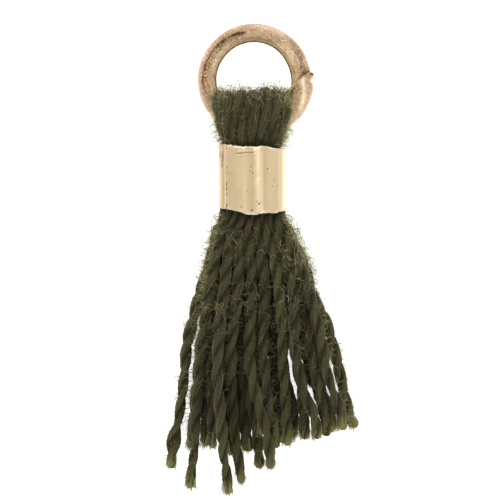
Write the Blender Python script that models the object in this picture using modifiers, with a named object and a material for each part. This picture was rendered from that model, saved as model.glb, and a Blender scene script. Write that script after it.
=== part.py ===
"""A tassel charm: dark two-ply yarn folded over a brass jump ring and held by a crimped brass band.

The charm lies on its back on the surface z = 0. The ring points to +Y, the cut strands to -Y and
the front faces up. Sizes are millimetres until a mesh is made, and MM turns them into metres.
"""

import math

import bmesh
import bpy
import numpy as np

MM = 0.001
GAP = 0.3  # between separate pieces

# Jump ring: angles run anticlockwise from +X, from the upper cut end round to the lower one
RING_CENTRE = (-0.57, 13.13)
RING_RADIUS = 3.37  # to the middle of the wire
WIRE_RADIUS = 0.63
RING_ENDS = (0.7, 358.6)
RING_TILT = 0.196  # rise for each unit towards the skirt
CUT_SLANT = 0.75  # the pinched ends lean by this much for each unit across the wire
PROUD = (285, 320, 345, 366)  # where the lower end starts, reaches, leaves and ends its spread
PROUD_OUT = 0.37
PROUD_UP = 0.2
RING_STEPS = 46
WIRE_BEVEL = 4  # bevel resolution, 12 sides

# Band: a strip wrapped round the hank, starting under its own free end at the front left
SHEET = 0.3
BAND_WIDTH = 4.88
BAND_DEPTH = 3.4
BAND_DIP = 0.1  # the front lies this far under its highest crease
BAND_LEFT = -3.11
BAND_BEND = 0.75  # corner radius
BEND_STEPS = 4
LAP_START = -1.5
LAP_END = -2.55
LAP_PLAY = 0.06
BAND_ROWS = 4
FRONT_STEPS = 13
BAND_EDGES = (  # x, top edge and bottom edge of the wrapped strip
    (-3.00, 8.47, 3.74),
    (-1.60, 8.29, 3.50),
    (-1.00, 8.27, 3.26),
    (-0.44, 8.25, 3.25),
    (0.04, 8.24, 3.38),
    (1.10, 8.10, 3.43),
    (1.77, 8.06, 3.63),
)
BAND_RIDGES = (  # x, width and height of the soft creases along the front
    (-0.11, 0.30, 0.10),
    (-1.12, 0.45, 0.07),
)

# Hank: sections of the folded head, the core inside the band and the shoulder above the strands
HEAD_LOBES = 7
LOBE_STEPS = 4
LOBE_ROUNDNESS = 0.7
SECTION_POWER = 3.2
HEAD_SECTIONS = (  # y, left x, right x, back z, front z, depth of the grooves between turns
    (12.42, -2.45, 1.30, 1.40, 2.55, 0.08),
    (12.20, -2.80, 1.62, 0.85, 3.10, 0.14),
    (11.75, -3.20, 1.95, 0.36, 3.55, 0.20),
    (11.10, -3.55, 2.18, 0.08, 3.80, 0.24),
    (10.40, -3.62, 2.12, 0.02, 3.90, 0.24),
    (9.75, -3.40, 2.04, 0.08, 3.85, 0.24),
    (9.30, -3.15, 1.98, 0.30, 3.62, 0.22),
    (8.92, -2.95, 1.88, 0.50, 3.20, 0.16),
    (8.72, -2.50, 1.16, 0.60, 2.34, 0.00),
    (3.06, -2.50, 1.16, 0.60, 2.34, 0.00),
    (2.90, -2.78, 1.44, 0.52, 2.50, 0.04),
    (2.60, -3.18, 1.84, 0.40, 2.74, 0.10),
    (2.30, -3.42, 2.08, 0.32, 2.86, 0.14),
    (2.02, -3.52, 2.18, 0.32, 2.88, 0.14),
)

# Strands: each row fans out from the shoulder, and lies on the rows laid before it
ROOT_Y = 2.35
HIP_Y = -1.0
KNEE_Y = -8.0
LAST_Y = -17.25
LAY_STEP = 0.25
STRAND_GAP = 0.04
ROOT_RADIUS = 0.25
STRAND_RADIUS = 0.40
TIP_SWELL = 1.06
PLY_FLATNESS = 0.68
TWIST_PITCH = 4.4
TWIST_TURN = 2.4  # radians between the starting angles of one strand and the next
STRAND_STEP = 0.64
FINE_STEPS = 400
EASE_STEPS = 5
ROWS = {  # x of the first strand and spacing at the root, then both at the hip
    "under": (-2.55, 0.63, -3.50, 1.07),
    "middle": (-3.17, 0.63, -3.98, 0.92),
    "upper": (-2.86, 0.63, -3.50, 0.92),
}
ROW_HEIGHTS = {  # lowest height of a row at the root, hip, knee and tip
    "under": (0.80, 0.43, 0.43, 0.43),
    "middle": (1.58, 1.30, 0.60, 0.43),
    "upper": (2.36, 2.15, 1.20, 0.43),
}
STRANDS = (  # row, place in the row, x at the knee, x and y of the cut end, as they are laid
    ("under", 0, -4.75, -5.20, -13.60),
    ("under", 1, -3.66, -3.45, -13.50),
    ("under", 2, -2.35, -1.95, -12.60),
    ("under", 3, -1.42, -0.90, -13.80),
    ("under", 4, 0.47, 0.30, -11.50),
    ("under", 5, 3.59, 3.91, -12.80),
    ("under", 6, 5.58, 5.94, -12.10),
    ("middle", 0, -5.62, -6.63, -15.10),
    ("middle", 1, -3.95, -3.90, -13.60),
    ("middle", 2, -3.08, -2.95, -12.60),
    ("middle", 3, -1.34, -0.13, -15.10),
    ("middle", 4, -0.40, -0.30, -10.50),
    ("middle", 5, 1.05, 1.45, -11.60),
    ("middle", 6, 2.64, 2.70, -12.90),
    ("middle", 7, 3.73, 4.53, -12.80),
    ("middle", 8, 5.69, 6.74, -11.87),
    ("upper", 4, 0.20, 1.05, -13.55),
    ("upper", 0, -4.60, -5.13, -16.50),
    ("upper", 1, -3.19, -2.43, -17.13),
    ("upper", 2, -2.25, -1.30, -16.20),
    ("upper", 3, -0.76, 0.72, -15.35),
    ("upper", 5, 1.63, 1.95, -13.40),
    ("upper", 6, 2.79, 3.22, -12.85),
    ("upper", 7, 4.56, 5.29, -12.35),
)

BRASS = ((0.72, 0.56, 0.33), 0.28, 1.0)  # colour, roughness, metallic
OLD_BRASS = ((0.60, 0.42, 0.26), 0.35, 1.0)
OLIVE_YARN = ((0.055, 0.055, 0.028), 0.95, 0.0)


def smooth_step(value, start, end):
    """0 before start, 1 after end, and an S-curve between them."""
    t = np.clip((value - start) / (end - start), 0, 1)
    return t * t * (3 - 2 * t)


def curve_through(places, values, at):
    """Smooth curve through (place, value) pairs whose slope at each pair follows its neighbours."""
    places = np.asarray(places, float)
    values = np.asarray(values, float)
    slopes = np.gradient(values, places)
    i = np.clip(np.searchsorted(places, at, side="right") - 1, 0, len(places) - 2)
    span = places[i + 1] - places[i]
    t = (at - places[i]) / span
    start = values[i] * (1 + 2 * t) * (1 - t) ** 2 + slopes[i] * span * t * (1 - t) ** 2
    end = values[i + 1] * t * t * (3 - 2 * t) + slopes[i + 1] * span * t * t * (t - 1)
    return start + end


def material(name, look):
    colour, roughness, metallic = look
    made = bpy.data.materials.new(name)
    made.use_nodes = True
    shader = made.node_tree.nodes["Principled BSDF"]
    shader.inputs["Base Color"].default_value = (*colour, 1)
    shader.inputs["Roughness"].default_value = roughness
    shader.inputs["Metallic"].default_value = metallic
    return made


def collection(name):
    made = bpy.data.collections.new(name)
    bpy.context.scene.collection.children.link(made)
    return made


def mesh_object(name, points, faces, home, look=None):
    """Object in the collection home, from points in millimetres."""
    mesh = bpy.data.meshes.new(name)
    mesh.from_pydata((np.asarray(points) * MM).tolist(), [], faces)
    mesh.update()
    made = bpy.data.objects.new(name, mesh)
    home.objects.link(made)
    if look:
        mesh.materials.append(look)
    return made


def loft_faces(sections, sides, first=0):
    """Quads between closed sections of points, and a flat face on each end."""
    faces = []
    for i in range(sections - 1):
        for j in range(sides):
            low = first + i * sides + j
            beside = first + i * sides + (j + 1) % sides
            faces.append((low, beside, beside + sides, low + sides))
    faces.append(tuple(first + j for j in reversed(range(sides))))
    faces.append(tuple(first + (sections - 1) * sides + j for j in range(sides)))
    return faces


def ring_path(count):
    """Middle of the wire: a circle that climbs over the hank, its lower end sprung outwards."""
    angle = np.linspace(*RING_ENDS, count)
    spread = smooth_step(angle, *PROUD[:2]) * (1 - smooth_step(angle, *PROUD[2:]))
    radius = RING_RADIUS + PROUD_OUT * spread
    x = RING_CENTRE[0] + radius * np.cos(np.radians(angle))
    y = RING_CENTRE[1] + radius * np.sin(np.radians(angle))
    far_end = RING_CENTRE[1] + RING_RADIUS
    z = WIRE_RADIUS + (far_end - y) * RING_TILT + PROUD_UP * spread
    return np.stack([x, y, z], axis=1)


def ring_tube(name, radius, home):
    """Round tube along the ring's path, made a mesh with welded caps."""
    curve = bpy.data.curves.new(name, "CURVE")
    curve.dimensions = "3D"
    curve.bevel_depth = radius * MM
    curve.bevel_resolution = WIRE_BEVEL
    curve.use_fill_caps = True
    path = ring_path(RING_STEPS) * MM
    spline = curve.splines.new("POLY")
    spline.points.add(len(path) - 1)
    spline.points.foreach_set("co", np.c_[path, np.ones(len(path))].ravel())
    guide = bpy.data.objects.new(name + "_path", curve)
    home.objects.link(guide)
    evaluated = guide.evaluated_get(bpy.context.evaluated_depsgraph_get())
    mesh = bpy.data.meshes.new_from_object(evaluated)
    mesh.name = name
    shape = bmesh.new()
    shape.from_mesh(mesh)
    bmesh.ops.remove_doubles(shape, verts=shape.verts, dist=1e-6)
    bmesh.ops.recalc_face_normals(shape, faces=shape.faces)
    shape.to_mesh(mesh)
    shape.free()
    made = bpy.data.objects.new(name, mesh)
    made.matrix_world = guide.matrix_world
    home.objects.link(made)
    bpy.data.objects.remove(guide)
    return made


def slant_ends(ring):
    """Leans both cut ends, as a pinch cutter leaves them: the outer side of the cut is higher."""
    start, end = np.radians(RING_ENDS)
    near = (end - start) / RING_STEPS / 4
    for vertex in ring.data.vertices:
        x = vertex.co.x / MM - RING_CENTRE[0]
        y = vertex.co.y / MM - RING_CENTRE[1]
        angle = math.atan2(y, x) % (2 * math.pi)
        if min(abs(angle - start), abs(angle - end)) < near:
            shift = (math.hypot(x, y) - RING_RADIUS) * CUT_SLANT
            vertex.co.x -= math.sin(angle) * shift * MM
            vertex.co.y += math.cos(angle) * shift * MM


def make_ring(home):
    ring = ring_tube("ring", WIRE_RADIUS, home)
    slant_ends(ring)
    ring.data.materials.clear()
    ring.data.materials.append(material("old_brass", OLD_BRASS))
    ring.data.shade_smooth()
    return ring


def bend_points(centre, start, end):
    """Points of one of the band's corners, from one angle to another in degrees."""
    angles = np.radians(np.linspace(start, end, BEND_STEPS + 1))
    return [(centre[0] + BAND_BEND * math.cos(a), centre[1] + BAND_BEND * math.sin(a)) for a in angles]


def band_outline():
    """Outer face of the strip, x and z: from the tucked end, round the back, to the free end."""
    right = BAND_LEFT + BAND_WIDTH
    front = BAND_DEPTH - BAND_DIP
    tucked = front - SHEET - LAP_PLAY
    bend = BAND_BEND
    low_left = (BAND_LEFT + bend, bend)
    low_right = (right - bend, bend)
    high_left = (BAND_LEFT + bend, tucked - bend)
    high_right = (right - bend, front - bend)
    outline = [(LAP_START, tucked)]
    outline += bend_points(high_left, 90, 180)
    outline += bend_points(low_left, 180, 270)
    outline += bend_points(low_right, 270, 360)
    outline += bend_points(high_right, 0, 90)
    for x in np.linspace(right - bend, LAP_END, FRONT_STEPS + 1)[1:]:
        ridge = sum(high * math.exp(-(((x - at) / wide) ** 2)) for at, wide, high in BAND_RIDGES)
        outline.append((x, front + min(ridge, BAND_DIP)))
    return outline


def make_band(home):
    """The strip as an open surface, wrapped, with uneven edges, and its wall added inwards."""
    outline = band_outline()
    places = [row[0] for row in BAND_EDGES]
    points = []
    for row in range(BAND_ROWS + 1):
        share = row / BAND_ROWS
        for x, z in outline:
            top = curve_through(places, [edge[1] for edge in BAND_EDGES], x)
            bottom = curve_through(places, [edge[2] for edge in BAND_EDGES], x)
            points.append((x, top + (bottom - top) * share, z))
    width = len(outline)
    faces = []
    for row in range(BAND_ROWS):
        for j in range(width - 1):
            low = row * width + j
            faces.append((low, low + 1, low + 1 + width, low + width))
    band = mesh_object("band", points, faces, home, material("brass", BRASS))
    wall = band.modifiers.new("wall", "SOLIDIFY")
    wall.thickness = SHEET * MM
    wall.offset = -1
    wall.use_even_offset = True
    band.data.shade_smooth()
    return band


def head_section(left, right, back, front, groove):
    """Closed ridged outline, x and z: along the front from left to right, then back again."""
    steps = HEAD_LOBES * LOBE_STEPS
    across = np.linspace(-1, 1, steps + 1)
    lobe = np.abs(np.sin(np.linspace(0, HEAD_LOBES * math.pi, steps + 1))) ** LOBE_ROUNDNESS
    x = (left + right) / 2 + across * (right - left) / 2
    depth = (front - back) / 2 * (1 - np.abs(across) ** SECTION_POWER) ** (1 / SECTION_POWER)
    depth = depth - groove * (1 - lobe) * (1 - across**8)  # no groove at the very sides
    middle = (front + back) / 2
    upper = np.stack([x, middle + depth], axis=1)
    lower = np.stack([x, middle - depth], axis=1)[-2:0:-1]
    return np.concatenate([upper, lower])


def make_head(home):
    points = []
    for y, left, right, back, front, groove in HEAD_SECTIONS:
        section = head_section(left, right, back, front, groove)
        points.append(np.insert(section, 1, y, axis=1))
    sides = len(points[0])
    faces = loft_faces(len(HEAD_SECTIONS), sides)
    return mesh_object("yarn", np.concatenate(points), faces, home, material("yarn", OLIVE_YARN))


def eased(height):
    """Smooth curve that is nowhere lower than height: the highest nearby value, then the mean."""
    reach = EASE_STEPS
    count = len(height)
    padded = np.pad(height, reach, mode="edge")
    highest = np.max([padded[i:i + count] for i in range(2 * reach + 1)], axis=0)
    padded = np.pad(highest, reach, mode="edge")
    return np.mean([padded[i:i + count] for i in range(2 * reach + 1)], axis=0)


def strand_radius(y):
    return ROOT_RADIUS + (STRAND_RADIUS - ROOT_RADIUS) * np.clip((ROOT_Y - y) / (ROOT_Y - HIP_Y), 0, 1)


def lay_strands():
    """Middle lines of all strands: each lies on the ones laid before it, or on the surface."""
    y = np.arange(ROOT_Y, LAST_Y, -LAY_STEP)
    radius = strand_radius(y)
    laid = []
    for row, place, knee_x, tip_x, tip_y in STRANDS:
        root_x, root_space, hip_x, hip_space = ROWS[row]
        stops = (tip_y, KNEE_Y, HIP_Y, ROOT_Y)
        across = (tip_x, knee_x, hip_x + place * hip_space, root_x + place * root_space)
        x = curve_through(stops, across, np.maximum(y, tip_y))
        lowest = np.interp(y, stops, ROW_HEIGHTS[row][::-1])
        for other in laid:
            aside = np.abs(x - other["x"])
            clear = (2 * radius + STRAND_GAP) * np.hypot(1, np.gradient(x, y))
            over = other["z"] + np.sqrt(np.maximum(clear**2 - aside**2, 0))
            meets = (aside < clear) & (y > other["end"] - LAY_STEP)
            lowest = np.where(meets, np.maximum(lowest, over), lowest)
        laid.append({"x": x, "y": y, "z": eased(lowest), "end": tip_y})
    return laid


def strand_rings(strand, phase):
    """Four-sided sections of a twisted two-ply strand, evenly spaced along it."""
    fine = np.linspace(ROOT_Y, strand["end"], FINE_STEPS)
    line = np.stack([
        np.interp(-fine, -strand["y"], strand["x"]),
        fine,
        np.interp(-fine, -strand["y"], strand["z"]),
    ], axis=1)
    run = np.concatenate([[0], np.cumsum(np.linalg.norm(np.diff(line, axis=0), axis=1))])
    count = round(run[-1] / STRAND_STEP) + 1
    at = np.linspace(0, run[-1], count)
    middle = np.stack([np.interp(at, run, line[:, k]) for k in range(3)], axis=1)
    along = np.gradient(middle, axis=0)
    along /= np.linalg.norm(along, axis=1)[:, None]
    side = np.cross((0, 0, -1), along)
    side /= np.linalg.norm(side, axis=1)[:, None]
    up = np.cross(along, side)
    radius = strand_radius(middle[:, 1])
    radius[-1] *= TIP_SWELL
    rings = []
    for corner_number in range(4):
        angle = phase + at * 2 * math.pi / TWIST_PITCH + corner_number * math.pi / 2
        reach = radius * (PLY_FLATNESS if corner_number % 2 else 1)
        offset = np.cos(angle)[:, None] * side + np.sin(angle)[:, None] * up
        rings.append(middle + reach[:, None] * offset)
    return np.stack(rings, axis=1)


def make_strands(home):
    """All strands in one mesh of separate closed bodies, to be fused to the head at their roots."""
    points = []
    faces = []
    first = 0
    for number, strand in enumerate(lay_strands()):
        rings = strand_rings(strand, number * TWIST_TURN)
        points.append(rings.reshape(-1, 3))
        faces += loft_faces(len(rings), 4, first)
        first += len(rings) * 4
    return mesh_object("strands", np.concatenate(points), faces, home)


def combine(target, operand, operation):
    """Boolean of target with an operand that isn't a piece itself."""
    operand.hide_render = True
    operand.display_type = "WIRE"
    made = target.modifiers.new(operand.name, "BOOLEAN")
    made.operation = operation
    made.solver = "EXACT"
    made.object = operand


def point_out(made):
    """Turns all faces of a closed mesh outwards."""
    shape = bmesh.new()
    shape.from_mesh(made.data)
    bmesh.ops.recalc_face_normals(shape, faces=shape.faces)
    shape.to_mesh(made.data)
    shape.free()


def make_yarn(home, cutters):
    yarn = make_head(home)
    strands = make_strands(cutters)
    tunnel = ring_tube("tunnel", WIRE_RADIUS + GAP, cutters)
    for made in (yarn, strands):
        point_out(made)
    combine(yarn, strands, "UNION")
    combine(yarn, tunnel, "DIFFERENCE")
    return yarn


def main():
    for old in list(bpy.data.objects):
        bpy.data.objects.remove(old)
    parts = collection("tassel_charm")
    cutters = collection("cutters")
    make_ring(parts)
    make_band(parts)
    make_yarn(parts, cutters)


main()
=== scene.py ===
import bpy
import numpy as np
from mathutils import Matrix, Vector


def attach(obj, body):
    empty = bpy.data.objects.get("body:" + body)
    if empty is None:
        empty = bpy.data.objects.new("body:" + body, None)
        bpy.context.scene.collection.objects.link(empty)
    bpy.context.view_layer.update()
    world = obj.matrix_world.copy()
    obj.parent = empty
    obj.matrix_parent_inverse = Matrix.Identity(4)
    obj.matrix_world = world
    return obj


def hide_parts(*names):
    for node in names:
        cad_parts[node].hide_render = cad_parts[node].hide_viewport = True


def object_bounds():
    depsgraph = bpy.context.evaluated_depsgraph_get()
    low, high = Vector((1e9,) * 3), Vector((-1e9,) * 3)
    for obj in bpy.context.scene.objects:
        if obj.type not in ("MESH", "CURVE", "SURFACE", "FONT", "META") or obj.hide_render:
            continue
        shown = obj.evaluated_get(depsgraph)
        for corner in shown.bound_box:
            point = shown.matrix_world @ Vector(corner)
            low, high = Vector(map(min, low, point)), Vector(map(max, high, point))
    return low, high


# A tassel charm lying on a pale table: a cut jump ring, a hank of olive two-ply yarn looped
# over it, and a folded brass band that pinches the hank. Lengths are in millimetres until a
# mesh, a lamp or the camera takes them in metres. X is right, Y is up along the charm, Z is off
# the table.

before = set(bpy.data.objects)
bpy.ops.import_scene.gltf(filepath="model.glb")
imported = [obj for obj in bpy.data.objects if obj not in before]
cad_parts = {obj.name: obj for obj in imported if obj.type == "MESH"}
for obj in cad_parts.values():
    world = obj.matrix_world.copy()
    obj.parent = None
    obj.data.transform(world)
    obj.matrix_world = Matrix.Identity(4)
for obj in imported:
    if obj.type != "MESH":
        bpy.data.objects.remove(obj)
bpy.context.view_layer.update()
millimetre = 0.001


def paint(red, green, blue):
    # A screen colour from 0 to 255, as the linear colour that a shader takes
    share = np.array([red, green, blue]) / 255
    linear = np.where(share > 0.04045, ((share + 0.055) / 1.055) ** 2.4, share / 12.92)
    return (*linear.tolist(), 1.0)


def smoothStep(value, start, end):
    # 0 before start, 1 after end, and an S-curve between them
    share = np.clip((value - start) / (end - start), 0, 1)
    return share * share * (3 - 2 * share)


def bell(value, middle, width):
    # 1 at the middle, falling to a third of that at the width and to nothing beyond
    return np.exp(-(((value - middle) / width) ** 2))


def spots(x, y, table):
    # Sum of soft spots: x, y, half width, half height and strength of each
    total = 0
    for middleX, middleY, width, height, strength in table:
        reach = ((x - middleX) / width) ** 2 + ((y - middleY) / height) ** 2
        total = total + strength * np.exp(-reach)
    return total


def stripes(x, table):
    # Sum of soft stripes: x, half width and strength of each
    return sum(strength * bell(x, middle, width) for middle, width, strength in table)


def curveThrough(places, values, at):
    # Smooth curve through (place, value) pairs whose slope at each pair follows its neighbours
    places = np.asarray(places, float)
    values = np.asarray(values, float)
    slopes = np.gradient(values, places)
    i = np.clip(np.searchsorted(places, at, side="right") - 1, 0, len(places) - 2)
    span = places[i + 1] - places[i]
    t = (at - places[i]) / span
    start = values[i] * (1 + 2 * t) * (1 - t) ** 2 + slopes[i] * span * t * (1 - t) ** 2
    end = values[i + 1] * t * t * (3 - 2 * t) + slopes[i + 1] * span * t * t * (t - 1)
    return start + end


noiseCells = 509


def drift(x, y, seed):
    # Smooth noise from -1 to 1: random values on a lattice, eased between in both directions
    values = np.random.default_rng(seed).uniform(-1, 1, noiseCells)
    x, y = np.broadcast_arrays(x, y)
    column = np.floor(x).astype(int)
    row = np.floor(y).astype(int)
    acrossShare = smoothStep(x - column, 0, 1)
    upShare = smoothStep(y - row, 0, 1)

    def corner(right, up):
        return values[(column + right + (row + up) * 131) % noiseCells]

    low = corner(0, 0) * (1 - acrossShare) + corner(1, 0) * acrossShare
    high = corner(0, 1) * (1 - acrossShare) + corner(1, 1) * acrossShare
    return low * (1 - upShare) + high * upShare


def unit(vectors):
    # The same directions with length 1
    return vectors / np.maximum(np.linalg.norm(vectors, axis=-1, keepdims=True), 1e-9)


def gridFaces(rows, columns, closed):
    # Quads of a grid of points. A closed grid joins its last column to its first.
    row, column = np.meshgrid(np.arange(rows - 1), np.arange(columns - (not closed)), indexing="ij")
    low = row * columns + column
    beside = row * columns + (column + 1) % columns
    return np.stack([low, beside, beside + columns, low + columns], axis=-1).reshape(-1, 4)


def tubeFaces(tubes, rows, columns):
    # Faces of many closed tubes of the same grid, with a flat face on both ends of each
    start = (np.arange(tubes) * rows * columns)[:, None, None]
    walls = (gridFaces(rows, columns, True)[None] + start).reshape(-1, 4)
    lowCaps = np.arange(columns)[::-1][None] + start[:, 0]
    highCaps = np.arange(columns)[None] + start[:, 0] + (rows - 1) * columns
    return [walls, lowCaps, highCaps]


def addMesh(name, points, faceGroups, material, marks):
    # Object from points, groups of faces with as many corners each, and values at the points
    mesh = bpy.data.meshes.new(name)
    points = np.asarray(points, float).reshape(-1, 3) * millimetre
    corners = np.concatenate([group.ravel() for group in faceGroups])
    sizes = np.concatenate([np.full(len(group), group.shape[1]) for group in faceGroups])
    mesh.vertices.add(len(points))
    mesh.vertices.foreach_set("co", points.ravel())
    mesh.loops.add(len(corners))
    mesh.loops.foreach_set("vertex_index", corners)
    mesh.polygons.add(len(sizes))
    mesh.polygons.foreach_set("loop_start", np.concatenate([[0], np.cumsum(sizes)[:-1]]))
    mesh.polygons.foreach_set("use_smooth", np.ones(len(sizes), bool))
    mesh.update(calc_edges=True)
    for mark, values in marks.items():
        values = np.asarray(values, np.float32)
        kind, field = ("FLOAT", "value") if values.size == len(points) else ("FLOAT_VECTOR", "vector")
        mesh.attributes.new(mark, kind, "POINT").data.foreach_set(field, values.ravel())
    mesh.materials.append(material)
    made = bpy.data.objects.new(name, mesh)
    bpy.context.scene.collection.objects.link(made)
    return made


class Signal:
    # Wraps a shader socket. Arithmetic on it adds Math nodes, and node() adds any other kind.
    def __init__(self, tree, socket):
        self.tree = tree
        self.socket = socket

    def node(self, kind, settings, inputs, output=0):
        made = self.tree.nodes.new(kind)
        for name, value in settings.items():
            setattr(made, name, value)
        for name, value in inputs.items():
            if isinstance(value, Signal):
                self.tree.links.new(value.socket, made.inputs[name])
            else:
                made.inputs[name].default_value = value
        return Signal(self.tree, made.outputs[output])

    def math(self, operation, first, second):
        return self.node("ShaderNodeMath", {"operation": operation}, {0: first, 1: second})

    def __add__(self, other):
        return self.math("ADD", self, other)

    def __radd__(self, other):
        return self.math("ADD", other, self)

    def __sub__(self, other):
        return self.math("SUBTRACT", self, other)

    def __rsub__(self, other):
        return self.math("SUBTRACT", other, self)

    def __mul__(self, other):
        return self.math("MULTIPLY", self, other)

    def __rmul__(self, other):
        return self.math("MULTIPLY", other, self)


def startMaterial(name, colours):
    # A new material, its shader, the place that it reads, and its screen colours made linear
    made = bpy.data.materials.new(name)
    made.use_nodes = True
    tree = made.node_tree
    shader = tree.nodes["Principled BSDF"]
    place = Signal(tree, None).node("ShaderNodeTexCoord", {}, {}, "Object")
    return made, shader, place, {key: paint(*colour) for key, colour in colours.items()}


def stretched(place, scale):
    return place.node("ShaderNodeVectorMath", {"operation": "MULTIPLY"}, {0: place, 1: scale})


def grain(place, scale, detail, roughness):
    # Noise from 0 to 1, and scale counts its lumps in one unit of the place that it reads
    inputs = {"Vector": place, "Scale": scale, "Detail": detail, "Roughness": roughness}
    return place.node("ShaderNodeTexNoise", {}, inputs)


def between(mask, low, high):
    # The colour low where the mask is 0 and high where it is 1
    return mask.node("ShaderNodeMix", {"data_type": "RGBA"}, {0: mask, 6: low, 7: high}, 2)


def ranged(value, low, high, start=0.0, end=1.0):
    # Stretches low to high over start to end, and holds the value inside them
    inputs = {0: value, 1: low, 2: high, 3: start, 4: end}
    return value.node("ShaderNodeMapRange", {"clamp": True}, inputs)


def marked(place, name, output="Fac"):
    # Reads the values that addMesh has put at the mesh's points
    return place.node("ShaderNodeAttribute", {"attribute_name": name}, {}, output)


def bumped(height, depth, strength):
    inputs = {"Strength": strength, "Distance": depth, "Height": height}
    return height.node("ShaderNodeBump", {}, inputs)


def feed(shader, varying, constant):
    for name, signal in varying.items():
        signal.tree.links.new(signal.socket, shader.inputs[name])
    for name, value in constant.items():
        shader.inputs[name].default_value = value


# Camera, table and light

studio = {
    "target": (-0.833, 0.739, 1.5),
    "fieldWidth": 36.23,
    "lens": 400.0,
    "sensor": 36.0,
    "tableSize": 2400.0,
    "tableColours": {"plain": (236, 236, 236), "cloud": (242, 242, 242)},
    "tableGlow": 0.95,
    "skyBrightness": 0.80,
    "lamps": (  # name, place, size, watts
        ("key", (-130.0, 120.0, 240.0), 150.0, 0.16),
        ("fill", (190.0, -40.0, 200.0), 170.0, 0.06),
        ("top", (20.0, 230.0, 110.0), 120.0, 0.05),
    ),
}


def addCamera():
    camera = bpy.data.objects.new("camera", bpy.data.cameras.new("camera"))
    distance = studio["fieldWidth"] * studio["lens"] / studio["sensor"]
    x, y, z = studio["target"]
    camera.location = (x * millimetre, y * millimetre, (z + distance) * millimetre)
    camera.data.lens = studio["lens"]
    camera.data.sensor_width = studio["sensor"]
    camera.data.clip_start = 0.01
    bpy.context.scene.collection.objects.link(camera)
    bpy.context.scene.camera = camera


def addLamps():
    for name, place, size, watts in studio["lamps"]:
        lamp = bpy.data.lights.new(name, "AREA")
        lamp.size = size * millimetre
        lamp.energy = watts
        made = bpy.data.objects.new(name, lamp)
        made.location = [value * millimetre for value in place]
        aim = made.location.copy()
        made.rotation_euler = aim.to_track_quat("Z", "Y").to_euler()
        bpy.context.scene.collection.objects.link(made)


def addTable():
    # A square of pale table that glows a little, like a light box under its sheet
    material, shader, place, hue = startMaterial("paleTable", studio["tableColours"])
    colour = between(grain(place, 40.0, 3.0, 0.55), hue["plain"], hue["cloud"])
    constant = {
        "Roughness": 0.8,
        "Specular IOR Level": 0.1,
        "Emission Color": (1, 1, 1, 1),
        "Emission Strength": studio["tableGlow"],
    }
    feed(shader, {"Base Color": colour}, constant)
    half = studio["tableSize"] / 2
    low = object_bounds()[0].z / millimetre
    corners = np.array([(-half, -half, low), (half, -half, low), (half, half, low), (-half, half, low)])
    table = addMesh("table", corners, [np.array([[0, 1, 2, 3]])], material, {})


addCamera()
addLamps()
addTable()
world = bpy.data.worlds.new("paleRoom")
world.use_nodes = True
world.node_tree.nodes["Background"].inputs["Color"].default_value = (1, 1, 1, 1)
world.node_tree.nodes["Background"].inputs["Strength"].default_value = studio["skyBrightness"]
bpy.context.scene.world = world
bpy.context.scene.view_settings.view_transform = "Standard"
print("camera, lamps and table are in place")


# The jump ring: a cut circle of round wire, its lower end sprung out past the other

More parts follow.
